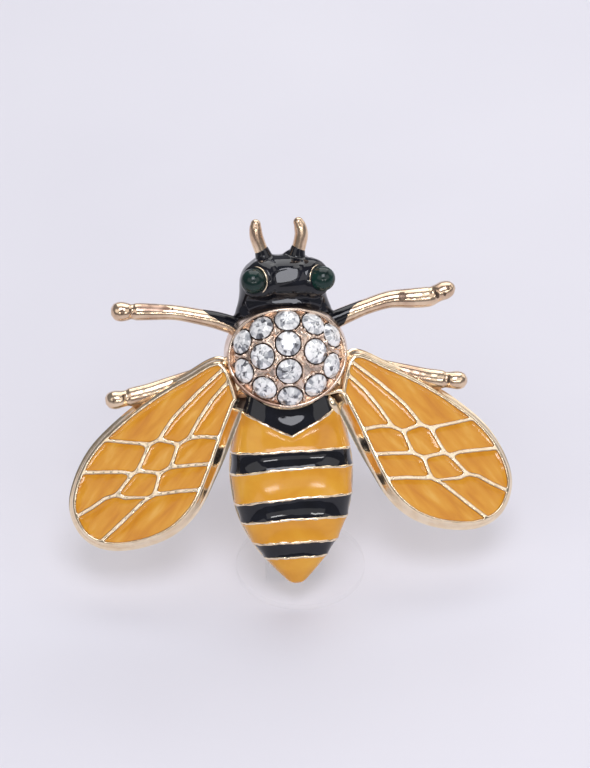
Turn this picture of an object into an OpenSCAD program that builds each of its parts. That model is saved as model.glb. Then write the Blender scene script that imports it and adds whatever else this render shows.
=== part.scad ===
// Bee brooch in cast metal, with enamel, set stones and a pin at the back, held up by a clear stand.
// The bee is drawn lying flat, its head along +Y, its back on Z = 0 and the middle of its thorax
// over the origin. Then it is leant back onto the stand, whose foot rests on Z = 0.

/* [Pose] */
// Angle between the brooch's back and the table, in degrees
lean = 58; // [54:1:62]
// Height of the tail tip above the table
tail_lift = 2.2; // [1.6:0.1:3.5]
// How far the tail tip stands in front of the middle of the foot
tail_ahead = 4.7; // [3.5:0.1:5.5]
// Sideways place of the brooch, from the middle of the foot
side_shift = -0.9; // [-1.2:0.1:1.2]

/* [Fit] */
// Clearance around each piece of enamel and each stone
fit = 0.04; // [0.02:0.01:0.06]

/* [Thorax] */
// Width of the thorax
thorax_w = 12.8; // [12:0.2:14]
// Length of the thorax
thorax_len = 10.6; // [10:0.2:11.6]
// Height of the thorax over the back
thorax_h = 6.6; // [6.2:0.1:7.2]
// Radius of the ball that the stones are set on
dome_r = 6.27; // [6:0.02:6.8]
// Height of the widest line round the thorax
thorax_girdle = 1.18; // [0.9:0.01:1.6]
// Slope of the thorax's side, from its widest line in to the rim
flank = 0.25; // [0.15:0.05:0.35]
// Width of the rim round the stones
rim_w = 0.45; // [0.35:0.05:0.55]
// Height of the rim over the ball
rim_lip = 0.28; // [0.2:0.02:0.4]

/* [Stones] */
// Diameter of a stone
stone_d = 2.52; // [2.2:0.02:2.54]
// Height of a stone's crown
crown_h = 0.42; // [0.3:0.02:0.5]
// Thickness of a stone's girdle
girdle_t = 0.12; // [0.08:0.02:0.2]
// Depth of a stone below its girdle
pavilion_h = 1; // [0.8:0.02:1.1]

/* [Abdomen] */
// Length of the abdomen, with the stretch under the thorax
abdomen_len = 20.7; // [19:0.1:22]
// Width of the abdomen
abdomen_w = 12.8; // [11.6:0.2:13.6]
// Height of the abdomen over the back
abdomen_h = 4.8; // [4.4:0.1:5.4]
// Stretch of the abdomen under the middle of the thorax, from the thorax's end
abdomen_tuck = 2.3; // [2:0.1:2.6]
// Height of the plain metal edge below the bands
abdomen_skirt = 0.9; // [0.7:0.1:1.2]
// Width of the metal ridge between two bands
ridge_w = 0.26; // [0.2:0.02:0.36]
// How far each band's enamel sinks between its ridges
band_dip = 0.1; // [0.04:0.02:0.16]
// Thickness of the metal over the hollow back
metal_wall = 1.0; // [0.8:0.05:1.2]

/* [Head] */
// Width of the head
head_w = 8.78; // [8.2:0.02:9.4]
// Length of the head, with the stretch under the thorax
head_len = 6.35; // [6:0.05:7]
// Height of the head over the back
head_h = 5; // [4.6:0.1:5.4]
// Stretch of the head that is under the thorax, from the thorax's front
head_tuck = 1.1; // [0.9:0.1:1.3]
// Height of the plain metal edge below the head's enamel
head_skirt = 0.4; // [0.3:0.1:0.6]
// Thickness of the enamel on the head and the abdomen
enamel_t = 0.45; // [0.35:0.05:0.55]

/* [Eyes] */
// Diameter of an eye
eye_d = 2.54; // [2.2:0.02:2.7]
// Height of an eye's straight side over its cup
eye_side = 0.45; // [0.2:0.05:0.6]
// Wall of an eye's cup
cup_wall = 0.16; // [0.12:0.02:0.2]
// Tilt of the eyes outward, in degrees
eye_tilt = 42; // [36:1:46]
// Distance of the left eye from the bee's middle
left_eye_x = 2.75; // [2.5:0.05:2.9]
// Distance of the right eye from the bee's middle
right_eye_x = 3.5; // [3.2:0.05:3.6]

/* [Antennae] */
// Reach of an antenna in front of the head's middle
antenna_len = 5.64; // [5:0.02:6.4]
// Diameter of an antenna where it leaves its black sleeve
antenna_d = 1.36; // [1.1:0.02:1.5]
// Share of the reach that both tips lean to the left
antenna_lean = 0.04; // [0:0.01:0.06]

/* [Wings] */
// Length of a wing
wing_len = 22.8; // [21:0.2:24]
// Width of a wing
wing_w = 11.9; // [11:0.1:12.6]
// Thickness of a wing
wing_t = 1.31; // [1.1:0.01:1.6]
// How far the wing's side slopes out from its top to its back
wing_draft = 0.5; // [0.3:0.05:0.55]
// Height of the wing's top where it leaves the thorax
wing_z = 3.2; // [2.9:0.1:3.4]
// Angle between the wing and the bee's width, in degrees
wing_sweep = 49; // [46:0.5:51]
// Tilt about the wing's own length that lifts its inner edge, in degrees
wing_tilt = 12.4; // [9:0.2:14]
// Droop from the root to the tip, in degrees
wing_droop = 3.4; // [2:0.2:4.4]
// Width of the rim round a wing
wing_rim = 0.42; // [0.36:0.02:0.5]
// Width of a vein
vein_w = 0.34; // [0.28:0.02:0.4]
// Depth of a cell
cell_depth = 0.55; // [0.45:0.05:0.65]
// How far the enamel lies below the veins
enamel_sink = 0.12; // [0.06:0.02:0.18]
// Radius of a cell's corners
cell_corner = 0.75; // [0.4:0.05:0.9]

/* [Legs] */
// Reach of a front leg from the bee's middle
front_reach = 17.85; // [16.5:0.05:18.5]
// Reach of a rear leg from the bee's middle
rear_reach = 18.74; // [18.2:0.02:19.2]
// Width of a leg at its thickest, without the knob
leg_w = 1.92; // [1.6:0.1:2.1]
// Height of a leg
leg_h = 1.4; // [1.2:0.01:1.6]
// Width of the knob at the end of a leg
knob_w = 2.0; // [1.8:0.1:2.3]
// Height of the knob
knob_h = 1.46; // [1.3:0.1:1.7]
// Thickness of the black enamel on a leg
leg_enamel_t = 0.22; // [0.16:0.02:0.28]

/* [Pin] */
// Length of the bar behind the thorax
bar_len = 11; // [10.4:0.2:11.6]
// Width of the bar
bar_w = 3.6; // [3:0.1:4.2]
// Thickness of the bar
bar_t = 0.6; // [0.5:0.05:0.8]
// Place of the bar, in front of the thorax's middle
bar_y = 1.2; // [0.6:0.1:1.8]
// Diameter of the pin's stem
stem_d = 0.8; // [0.7:0.05:0.9]
// Length of the hinge block and of the catch, along the bar
block_len = 1.4; // [1.2:0.1:1.6]
// Clearance of the stand's tongue between the bar and the stem
tongue_play = 0.35; // [0.25:0.05:0.45]

/* [Stand] */
// Diameter of the clear foot
foot_d = 13.6; // [12.6:0.2:15]
// Thickness of the foot and its heel
foot_t = 0.8; // [0.7:0.1:1.2]
// Reach of the heel behind the middle of the foot
heel_reach = 11; // [10:0.5:13]
// Width of the heel and of the tongue
tongue_w = 6; // [5:0.2:6.6]
// Thickness of the tongue
tongue_t = 1.2; // [1:0.1:1.4]
// Reach of the tongue past the pin's stem
tongue_over = 1.6; // [1.2:0.1:2]

/* [Hidden] */
CELLS = 11;
STONES = 14;
BANDS = 8;
function two_digits(i) = i < 10 ? str("0", i) : str(i);

gold = "#e3bd7a";
orange = "#e79a1c";
black = "#15151a";
green = "#0d3b2a";
clear_glass = "#eef2f5";
clear_plastic = "#dfe6ea80";
steel = "#d9c79a";

// How far the casting's parts are drawn below its back before they are cut off flat there
below = 0.6;
// Steps along an arch from its right foot to its left, and round an oval
arch_steps = 16;
oval_steps = 32;
leg_steps = 8;
// Squareness of each outline: 2 is an ellipse, and more is nearer a box
abdomen_square = 3;
head_square = 2.3;
thorax_square = 2.2;

abdomen_y = -(thorax_len / 2 - abdomen_tuck);
tail_y = abdomen_y - abdomen_len;
head_y = thorax_len / 2 - head_tuck;
dome_z = thorax_h - dome_r;
seat_y = -tail_ahead - tail_y * cos(lean);
seat_z = tail_lift - tail_y * sin(lean);

// Curves

function spow(x, p) = sign(x) * pow(abs(x), p);
function unit(v) = v / norm(v);
function mix(a, b, t) = a * (1 - t) + b * t;
function total(list, i = 0) = i == len(list) - 1 ? list[i] : list[i] + total(list, i + 1);
function middle(points) = total(points) / len(points);

// A smooth value from one column of a table whose first column rises
function slope_at(table, col, i) =
    let (a = table[max(i - 1, 0)], b = table[min(i + 1, len(table) - 1)])
    (b[col] - a[col]) / (b[0] - a[0]);
function smooth(table, col, s) =
    let (
        below = [for (k = [0:len(table) - 2]) if (s >= table[k][0]) k],
        i = len(below) == 0 ? 0 : below[len(below) - 1],
        a = table[i],
        b = table[i + 1],
        span = b[0] - a[0],
        t = (s - a[0]) / span,
        ma = slope_at(table, col, i) * span,
        mb = slope_at(table, col, i + 1) * span
    )
    (2 * t ^ 3 - 3 * t ^ 2 + 1) * a[col] + (t ^ 3 - 2 * t ^ 2 + t) * ma
    + (3 * t ^ 2 - 2 * t ^ 3) * b[col] + (t ^ 3 - t ^ 2) * mb;

// A point of the closed curve that passes through the points, at place p counted in points
function closed_curve(points, p) =
    let (
        n = len(points),
        i = floor(p),
        t = p - i,
        a = points[(i + n - 1) % n],
        b = points[i % n],
        c = points[(i + 1) % n],
        d = points[(i + 2) % n]
    )
    (2 * b + (c - a) * t + (2 * a - 5 * b + 4 * c - d) * t ^ 2 + (3 * b - 3 * c + d - a) * t ^ 3) / 2;

// Solids from sections

// A solid through closed sections, each turning left as seen from the far end
module loft(sections) {
    m = len(sections);
    n = len(sections[0]);
    points = [each for (s = sections) s, middle(sections[0]), middle(sections[m - 1])];
    sides = [for (i = [0:m - 2], j = [0:n - 1])
        let (a = i * n + j, b = i * n + (j + 1) % n) each [[a, a + n, b + n], [a, b + n, b]]];
    ends = [for (j = [0:n - 1])
        let (k = (j + 1) % n, last = (m - 1) * n)
        each [[m * n, j, k], [m * n + 1, last + k, last + j]]];
    polyhedron(points, concat(sides, ends), convexity = 8);
}

// A skin between an outer and an inner net of points, both turning left as seen from the far end
module skin(outer, inner) {
    m = len(outer);
    n = len(outer[0]);
    k = m * n;
    points = [each for (row = outer) row, each for (row = inner) row];
    faces = [for (i = [0:m - 2], j = [0:n - 2])
        let (a = i * n + j, b = a + 1)
        each [[a, a + n, b + n], [a, b + n, b],
            [a + k, b + k, b + n + k], [a + k, b + n + k, a + n + k]]];
    feet = [for (i = [0:m - 2])
        let (a = i * n, b = a + n - 1)
        each [[a + n, a, a + k], [a + n, a + k, a + n + k],
            [b, b + n, b + n + k], [b, b + n + k, b + k]]];
    ends = [for (j = [0:n - 2])
        let (a = j, b = j + 1, p = (m - 1) * n + j, q = p + 1)
        each [[a, b, b + k], [a, b + k, a + k], [q, p, p + k], [q, p + k, q + k]]];
    polyhedron(points, concat(faces, feet, ends), convexity = 8);
}

// The bee's place on the stand
module placed() {
    translate([side_shift, seat_y, seat_z]) rotate([lean, 0, 0]) children();
}

module both_sides() {
    children();
    mirror([1, 0, 0]) children();
}

// Thorax

function thorax_oval(inset) = [for (i = [0:oval_steps - 1])
    let (a = 360 * i / oval_steps)
    [(thorax_w / 2 - inset) * spow(cos(a), 2 / thorax_square),
     (thorax_len / 2 - inset) * spow(sin(a), 2 / thorax_square)]];
// Half length of the thorax at a distance x from its middle
function thorax_edge(x) =
    thorax_len / 2 * pow(1 - pow(min(abs(x) / (thorax_w / 2), 1), thorax_square), 1 / thorax_square);
function dome_at(p) = dome_z + sqrt(max(dome_r ^ 2 - p[0] ^ 2 - p[1] ^ 2, 0));
function with_z(points, zs) = [for (i = [0:len(points) - 1]) [points[i][0], points[i][1], zs[i]]];
function flat_at(points, z) = [for (p = points) [p[0], p[1], z]];

module thorax_body() {
    rim_in = thorax_oval(flank + rim_w);
    rim_z = [for (p = rim_in) dome_at(p) + rim_lip];
    plate = thorax_oval(flank + rim_w + rim_lip / 4);
    rings = [for (s = [1, 0.78, 0.55, 0.3])
        let (ring = [for (p = plate) p * s]) with_z(ring, [for (p = ring) dome_at(p)])];
    loft(concat(
        [flat_at(thorax_oval(flank), -below), flat_at(thorax_oval(0), thorax_girdle)],
        [with_z(thorax_oval(flank), rim_z), with_z(rim_in, rim_z)],
        rings
    ));
}

// Stones

// Middle of each stone as shares of the ball's radius: across, along
stone_places = [
    [0.005, 0.652], [-0.012, 0.29], [-0.018, -0.156], [-0.01, -0.586],
    [0.428, 0.565], [0.735, 0.352], [0.432, 0.132], [0.7, -0.135], [0.413, -0.425],
    [-0.42, 0.545], [-0.735, 0.325], [-0.435, 0.1], [-0.735, -0.142], [-0.418, -0.42]
];
stone_table = 0.56;
stone_middle = 0.8;
seat_sides = 14;

module on_dome(i) {
    p = stone_places[i] * dome_r;
    out = sqrt(dome_r ^ 2 - p[0] ^ 2 - p[1] ^ 2);
    translate([p[0], p[1], dome_z + out])
        rotate([0, acos(out / dome_r), atan2(p[1], p[0])])
            children();
}

function ring_points(n, r, z, turn) = [for (i = [0:n - 1])
    [r * cos(turn + 360 * i / n), r * sin(turn + 360 * i / n), z]];

// A round stone with a table, 8 star, 8 main and 16 girdle facets over 16 below
module cut_stone() {
    r = stone_d / 2;
    points = concat(
        ring_points(8, r * stone_table, girdle_t / 2 + crown_h, 0),
        ring_points(8, r * stone_middle, girdle_t / 2 + crown_h * 0.56, 22.5),
        ring_points(16, r, girdle_t / 2, 0),
        ring_points(16, r, -girdle_t / 2, 0),
        [[0, 0, -girdle_t / 2 - pavilion_h]]
    );
    crown = [for (i = [0:7])
        let (k = (i + 1) % 8, m = 8 + i, before = 8 + (i + 7) % 8, g = 16 + 2 * i)
        each [[i, m, k], [i, before, g], [i, g, m],
            [m, g, g + 1], [m, g + 1, 16 + (2 * i + 2) % 16]]];
    below = [for (i = [0:15])
        let (a = 16 + i, b = 16 + (i + 1) % 16)
        each [[a, a + 16, b + 16], [a, b + 16, b], [a + 16, 48, b + 16]]];
    table = [for (i = [1:6]) [0, i + 1, i]];
    // Each face is listed with its corners running clockwise from outside
    sides = [for (f = concat(crown, below)) [f[0], f[2], f[1]]];
    polyhedron(points, concat(table, sides));
}

module stone(i) {
    color(clear_glass) placed() on_dome(i) cut_stone();
}

// The step at the foot of a seat's straight wall
seat_step = 0.07;

module stone_seat() {
    wall_foot = -girdle_t / 2 - seat_step;
    cone_top = wall_foot + 0.1;
    cone_tip = -girdle_t / 2 - pavilion_h - 3 * fit;
    slope = stone_d / 2 / pavilion_h;
    translate([0, 0, wall_foot]) cylinder(r = stone_d / 2 + fit, h = crown_h + 2, $fn = seat_sides);
    translate([0, 0, cone_tip])
        cylinder(r1 = fit, r2 = fit + (wall_foot - cone_tip) * slope, h = cone_top - cone_tip,
            $fn = seat_sides);
}

// Abdomen

// Share of the length from the front, share of the half width, share of the height
abdomen_shape = [
    [0, 0.7, 0.78], [0.1, 0.81, 0.85], [0.185, 0.9, 0.91], [0.335, 0.98, 0.98], [0.44, 1, 1],
    [0.59, 0.945, 0.99], [0.71, 0.82, 0.93], [0.81, 0.633, 0.82], [0.905, 0.39, 0.65],
    [0.97, 0.195, 0.48], [1, 0.095, 0.4]
];
// Where two bands meet: share of the length, rise at the sides of a point, fall of a bow at the sides,
// rise from the left side to the right
band_edges = [
    [0.239, 0.138, 0, 0], [0.3115, 0, 0.004, 0], [0.3985, 0, 0.018, 0.008], [0.546, 0, 0.017, 0.012],
    [0.652, 0, 0.0145, 0.005], [0.7705, 0, 0.006, 0], [0.85, 0, 0.005, 0]
];
arch_u = [for (j = [0:arch_steps]) cos(180 * j / arch_steps)];
arch_v = [for (j = [0:arch_steps]) sin(180 * j / arch_steps)];

function abdomen_row(ys, inset, lift) = [for (j = [0:arch_steps])
    let (
        u = spow(arch_u[j], 2 / abdomen_square),
        v = spow(max(arch_v[j], 0), 2 / abdomen_square),
        s = (abdomen_y - ys[j]) / abdomen_len,
        w = max(abdomen_w / 2 * smooth(abdomen_shape, 1, s) - inset, 0.12),
        h = abdomen_h * smooth(abdomen_shape, 2, s) - abdomen_skirt - inset + lift
    )
    [w * u, ys[j], abdomen_skirt + h * v]];
function edge_row(edge, shift) = [for (j = [0:arch_steps])
    let (u = spow(arch_u[j], 2 / abdomen_square))
    abdomen_y - abdomen_len * (edge[0] - edge[1] * abs(u) + edge[2] * u ^ 2 - edge[3] * u) + shift];
function level_row(y) = [for (j = [0:arch_steps]) y];
// The line along which the abdomen meets the thorax
function neck_row(shift) = [for (j = [0:arch_steps])
    let (u = spow(arch_u[j], 2 / abdomen_square))
    -thorax_edge(u * abdomen_w / 2 * abdomen_shape[1][1]) - shift];

// The row with its feet set down into the metal edge below it
function footed(row, low) = let (n = len(row) - 1)
    concat(row, [[row[n][0], row[n][1], low], [row[0][0], row[0][1], low]]);

function core_row(ys, inset) = footed(abdomen_row(ys, inset, 0), abdomen_skirt / 2);

module abdomen_core() {
    core_in = enamel_t + fit;
    crest_in = fit;
    half = ridge_w / 2;
    band_middles = [for (i = [0:len(band_edges) - 2])
        mix(edge_row(band_edges[i], 0), edge_row(band_edges[i + 1], 0), 0.5)];
    tail_rows = [for (s = [0.9, 0.94, 0.975]) level_row(abdomen_y - s * abdomen_len)];
    rows = concat(
        [core_row(level_row(abdomen_y), core_in), core_row(neck_row(0), core_in)],
        [for (i = [0:len(band_edges) - 1])
            each concat(
                [core_row(edge_row(band_edges[i], half), core_in),
                 core_row(edge_row(band_edges[i], half), crest_in),
                 core_row(edge_row(band_edges[i], -half), crest_in),
                 core_row(edge_row(band_edges[i], -half), core_in)],
                i < len(band_middles) ? [core_row(band_middles[i], core_in)] : []
            )],
        [for (ys = tail_rows) core_row(ys, core_in)]
    );
    loft(rows);
}

// The plain edge that the bands stand on
module abdomen_edge() {
    shares = [0, 0.06, 0.12, 0.2, 0.3, 0.4, 0.5, 0.6, 0.7, 0.78, 0.85, 0.9, 0.94, 0.97, 1];
    sides = [for (s = shares) [abdomen_w / 2 * smooth(abdomen_shape, 1, s), abdomen_y - s * abdomen_len]];
    back = [for (i = [len(sides) - 1:-1:0]) [-sides[i][0], sides[i][1]]];
    translate([0, 0, -below]) linear_extrude(below + abdomen_skirt) polygon(concat(sides, back));
}

// The hollow at the back of the abdomen
module abdomen_hollow() {
    inset = enamel_t + metal_wall;
    shares = [0.16, 0.32, 0.5, 0.66, 0.78, 0.87];
    rows = [for (s = shares)
        let (row = abdomen_row(level_row(abdomen_y - s * abdomen_len), inset, 0)) footed(row, -1)];
    loft(rows);
}

// One band of enamel, counted from the neck
module band(i) {
    clear = ridge_w / 2 + fit;
    first = i == 0 ? neck_front(neck_room) : edge_row(band_edges[i - 1], -clear);
    last = i == BANDS - 1 ? level_row(tail_y) : edge_row(band_edges[i], clear);
    steps = i == BANDS - 1 ? [0, 0.3, 0.55, 0.78, 1] : [0, 0.25, 0.6, 0.9, 1];
    outer = [for (t = steps) sunk_row(mix(first, last, t), t)];
    inner = [for (t = steps)
        let (ys = i == BANDS - 1 ? mix(first, level_row(tail_y + enamel_t), t) : mix(first, last, t))
        footing(abdomen_row(ys, enamel_t, 0))];
    color(i % 2 == 0 ? black : orange) placed()
        skin(
            concat(outer, i == BANDS - 1 ? [shrunk(outer[len(outer) - 1])] : []),
            concat(inner, i == BANDS - 1 ? [shrunk(inner[len(inner) - 1])] : [])
        );
}
// The front of the neck: each point slides along the abdomen until it lies on the thorax's edge.
// Its room is wider than the fit, because both edges have flat stretches between their points.
neck_slides = 4;
neck_room = 3 * fit;
function slid(u, y, turns) = turns == 0 ? y :
    let (w = abdomen_w / 2 * smooth(abdomen_shape, 1, (abdomen_y - y) / abdomen_len))
    slid(u, -thorax_edge(u * w), turns - 1);
function neck_front(shift) = [for (j = [0:arch_steps])
    slid(spow(arch_u[j], 2 / abdomen_square), neck_row(0)[j], neck_slides) - shift];
// A row of the band's top, which clings to the ridges and sinks between them
function sunk_row(ys, t) = footing(abdomen_row(ys, band_dip * pow(sin(180 * t), 0.6), 0));
// A row whose feet stand clear of the metal edge
function footing(row) = let (n = len(row) - 1)
    [for (j = [0:n]) [row[j][0], row[j][1], max(row[j][2], abdomen_skirt + fit)]];
// The same row drawn almost to a point, to close an end
function shrunk(row) = let (m = [0, row[0][1], abdomen_skirt + fit])
    [for (p = row) m + (p - m) * 0.04];

// Head

// Share of the length from the thorax, share of the half width, share of the height
head_shape = [
    [0, 1.14, 0.62], [0.1, 1.08, 0.64], [0.22, 1.01, 0.66], [0.313, 0.99, 0.8], [0.458, 0.99, 0.96],
    [0.63, 0.985, 1], [0.77, 0.91, 0.94], [0.896, 0.72, 0.78], [0.96, 0.6, 0.64], [1, 0.46, 0.5]
];
head_rows = [1, 0.96, 0.88, 0.77, 0.62, 0.46, 0.37, 0.3, 0.21, 0.1];

function head_row(ys, inset) = [for (j = [0:arch_steps])
    let (
        u = spow(arch_u[j], 2 / head_square),
        v = spow(max(arch_v[j], 0), 2 / head_square),
        s = (ys[j] - head_y) / head_len,
        w = head_w / 2 * smooth(head_shape, 1, s) - inset,
        h = head_h * smooth(head_shape, 2, s) - head_skirt - inset
    )
    [w * u, ys[j], head_skirt + h * v]];
function collar_row(shift) = [for (j = [0:arch_steps])
    let (u = spow(arch_u[j], 2 / head_square)) thorax_edge(u * head_w / 2) + shift];
function head_level(s) = level_row(head_y + s * head_len);

module head_skin() {
    front = 1 - enamel_t / head_len;
    outer = concat([for (s = head_rows) head_row(head_level(s), 0)], [head_row(collar_row(fit), 0)]);
    inner = concat([for (s = head_rows) head_row(head_level(min(s, front - (1 - s) / 50)), enamel_t)],
        [head_row(collar_row(fit), enamel_t)]);
    m = [0, head_y + head_len, head_skirt];
    closing_out = [for (p = outer[0]) m + (p - m) * 0.04];
    closing_in = [for (p = inner[0]) let (c = [0, inner[0][0][1], head_skirt]) c + (p - c) * 0.04];
    skin(concat([closing_out], outer), concat([closing_in], inner));
}

// Antennae

// Share of the reach, distance from the bee's middle as a share of the reach, height, share of the radius
antenna_path = [
    [-0.1, 0.27, 0.32, 1], [0.28, 0.33, 0.38, 1], [0.5, 0.375, 0.42, 1.02], [0.72, 0.405, 0.46, 1.02],
    [0.88, 0.415, 0.49, 0.92], [0.955, 0.415, 0.5, 0.78]
];
// The black sleeve at its foot, in the same columns
sleeve_path = [
    [-0.2, 0.25, 0.26, 1.75], [0.13, 0.3, 0.33, 1.68], [0.31, 0.335, 0.385, 1.4], [0.45, 0.362, 0.41, 1.14]
];
antenna_foot = head_y + head_len - 2.1;
antenna_sides = 10;

module rod(path, side, grow) {
    points = [for (p = path)
        [side * p[1] - antenna_lean * p[0] ^ 2, p[0], p[2]] * antenna_len + [0, antenna_foot, 0]];
    for (i = [0:len(path) - 2])
        hull() for (k = [i, i + 1])
            translate(points[k]) sphere(r = path[k][3] * antenna_d / 2 + grow, $fn = antenna_sides);
}

// Eyes

cup_base = 1.2;
cup_rise = 0.25;
left_eye_share = 0.632;
right_eye_share = 0.602;

module at_eye(x) {
    side = sign(x);
    s = side < 0 ? left_eye_share : right_eye_share;
    z = head_h * 0.985 * pow(1 - pow(abs(x) / (head_w / 2), head_square), 1 / head_square);
    translate([x, head_y + s * head_len, z]) rotate([0, side * eye_tilt, 0]) children();
}

module eye_cup() {
    translate([0, 0, -cup_base]) cylinder(r = eye_d / 2 + fit + cup_wall, h = cup_base + cup_rise, $fn = 20);
}

module eye_bore() {
    translate([0, 0, -enamel_t]) cylinder(r = eye_d / 2 + fit, h = 2, $fn = 20);
}

module eye(x) {
    top = cup_rise + eye_side;
    color(green) placed() at_eye(x) {
        translate([0, 0, -enamel_t + fit]) cylinder(d = eye_d, h = enamel_t - fit + top, $fn = 48);
        translate([0, 0, top]) sphere(d = eye_d, $fn = 48);
    }
}

module head_enamel() {
    color(black) placed() difference() {
        union() {
            head_skin();
            for (side = [-1, 1]) rod(sleeve_path, side, 0);
        }
        head_solid(enamel_t + fit / 4, -1);
        for (side = [-1, 1]) rod(antenna_path, side, fit);
        for (x = [-left_eye_x, right_eye_x])
            at_eye(x) translate([0, 0, -cup_base - fit])
                cylinder(r = eye_d / 2 + 2 * fit + cup_wall, h = cup_base + 4, $fn = 20);
        below_back();
    }
}

// The head's metal core at an inset from the head's outside, with its feet down at a height
module head_solid(inset, low) {
    front = 1 - inset / head_len;
    rows = concat([for (s = head_rows) head_row(head_level(min(s, front - (1 - s) / 50)), inset)],
        [head_row(head_level(0), inset)]);
    loft([for (row = rows) footed(row, low)]);
}

module below_back() {
    translate([-30, -30, -5]) cube([60, 60, 5 + head_skirt]);
}

// Wings

// Outline of a wing: share of the length, share of the width, with the inner edge first
wing_outline = [
    [0.07, -0.205], [0.12, -0.25], [0.25, -0.33], [0.415, -0.44], [0.585, -0.525], [0.74, -0.49],
    [0.88, -0.335], [0.975, -0.135], [1, 0.075], [0.95, 0.285], [0.845, 0.41], [0.69, 0.475],
    [0.515, 0.445], [0.33, 0.36], [0.155, 0.235], [0, 0.085]
];
outline_points = [for (p = wing_outline) [p[0] * wing_len, p[1] * wing_w]];
// Where veins cross or bend: share of the length, share of the width
crossings = [
    [0.175, 0.071], [0.33, 0.1], [0.45, 0.08], [0.491, 0.118],
    [0.154, -0.067], [0.263, -0.084], [0.357, -0.116], [0.41, -0.077], [0.425, -0.008],
    [0.318, -0.185], [0.561, 0.084], [0.62, 0.057], [0.467, -0.118], [0.511, -0.147],
    [0.561, -0.109], [0.588, -0.032], [0.46, -0.248], [0.645, 0.073], [0.667, 0.155],
    [0.765, 0.071], [0.811, 0.13], [0.886, 0.172], [0.61, -0.147], [0.654, -0.185],
    [0.684, -0.164], [0.75, -0.004], [0.566, -0.345], [0.71, -0.147], [0.794, -0.126], [0.875, -0.105]
];
// Places round the outline where a vein meets the rim, counted in outline points: three on the inner
// edge, two at the tip, two on the outer edge and two at the root
rim_places = [2.1, 2.8, 3.5, 7.25, 8.75, 10.4, 11.5, 15.25, 15.57];
// Each cell, turning left: a number is a crossing, and a pair is the stretch between two rim places
cells = [
    [0, 1, 2, 3, [6, 7]],
    [4, 5, 6, 7, 8, 2, 1, 0, [7, 8]],
    [[8, 0], 9, 6, 5, 4],
    [3, 10, 11, 17, 18, [5, 6]],
    [7, 12, 13, 14, 15, 11, 10, 3, 2, 8],
    [[0, 1], 16, 13, 12, 7, 6, 9],
    [17, 19, 20, 21, [4, 5], 18],
    [14, 22, 23, 24, 25, 19, 17, 11, 15],
    [[1, 2], 26, 23, 22, 14, 13, 16],
    [24, 27, 28, 29, [3, 4], 21, 20, 19, 25],
    [[2, 3], 29, 28, 27, 24, 23, 26]
];
rim_step = 0.4;

// A point of the wing's outline moved in by a distance
function outline_at(p, inset) =
    let (
        a = closed_curve(outline_points, p + 15.99),
        b = closed_curve(outline_points, p + 16.01),
        along = unit(b - a)
    )
    closed_curve(outline_points, p + 16) + inset * [-along[1], along[0]];
function rim_stretch(first, last) =
    let (
        from = rim_places[first],
        to = rim_places[last] + (last < first ? len(wing_outline) : 0),
        n = ceil((to - from) / rim_step)
    )
    [for (i = [0:n]) outline_at(from + (to - from) * i / n, wing_rim - vein_w / 2)];
function cell_path(cell) = [for (e = cell)
    each is_list(e) ? rim_stretch(e[0], e[1]) : [[crossings[e][0] * wing_len, crossings[e][1] * wing_w]]];

// The path moved in by a distance, with mitred corners
function moved_in(path, d) = let (n = len(path)) [for (i = [0:n - 1])
    let (
        a = unit(path[i] - path[(i + n - 1) % n]),
        b = unit(path[(i + 1) % n] - path[i]),
        na = [-a[1], a[0]],
        nb = [-b[1], b[0]]
    )
    path[i] + (na + nb) * d / max(1 + na * nb, 0.5)];
// The path with each sharp corner rounded
function eased(path, r) = let (n = len(path)) [for (i = [0:n - 1])
    let (
        b = path[i],
        to_a = path[(i + n - 1) % n] - b,
        to_c = path[(i + 1) % n] - b,
        turn = 180 - acos(min(max(unit(to_a) * unit(to_c), -1), 1)),
        reach = min(r * tan(turn / 2), 0.45 * norm(to_a), 0.45 * norm(to_c)),
        p = b + unit(to_a) * reach,
        q = b + unit(to_c) * reach
    )
    each turn < 24 ? [b] : [for (t = [0, 0.34, 0.66, 1]) p * (1 - t) ^ 2 + 2 * b * t * (1 - t) + q * t ^ 2]];
function cell_shape(i, inset) = eased(moved_in(cell_path(cells[i]), vein_w / 2 + inset), cell_corner);

module at_wing() {
    translate([wing_root_x, wing_root_y, wing_z]) rotate([-wing_tilt, wing_droop, -wing_sweep]) children();
}
wing_root_x = thorax_w / 2 - 0.23;
wing_root_y = -0.62;
outline_steps = 44;

module wing_tray() {
    top = [for (i = [0:outline_steps - 1]) outline_at(16 * i / outline_steps, 0)];
    back = [for (i = [0:outline_steps - 1]) outline_at(16 * i / outline_steps, -wing_draft)];
    difference() {
        loft([flat_at(back, -wing_t), flat_at(top, 0)]);
        for (i = [0:CELLS - 1])
            translate([0, 0, -cell_depth]) linear_extrude(2 * cell_depth) polygon(cell_shape(i, 0));
    }
    // The lug that joins the tray to the thorax
    translate([-2.2, -2.2, -wing_t]) cube([3.6, 3, wing_t - cell_depth - 0.15]);
}

module wing_cell(i) {
    color(orange) placed_wing() translate([0, 0, -cell_depth + fit])
        linear_extrude(cell_depth - fit - enamel_sink) polygon(cell_shape(i, fit));
}

module placed_wing() {
    placed() at_wing() children();
}

module left_wing_cell(i) {
    color(orange) placed() mirror([1, 0, 0]) at_wing() translate([0, 0, -cell_depth + fit])
        linear_extrude(cell_depth - fit - enamel_sink) polygon(cell_shape(i, fit));
}

// Legs

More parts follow.
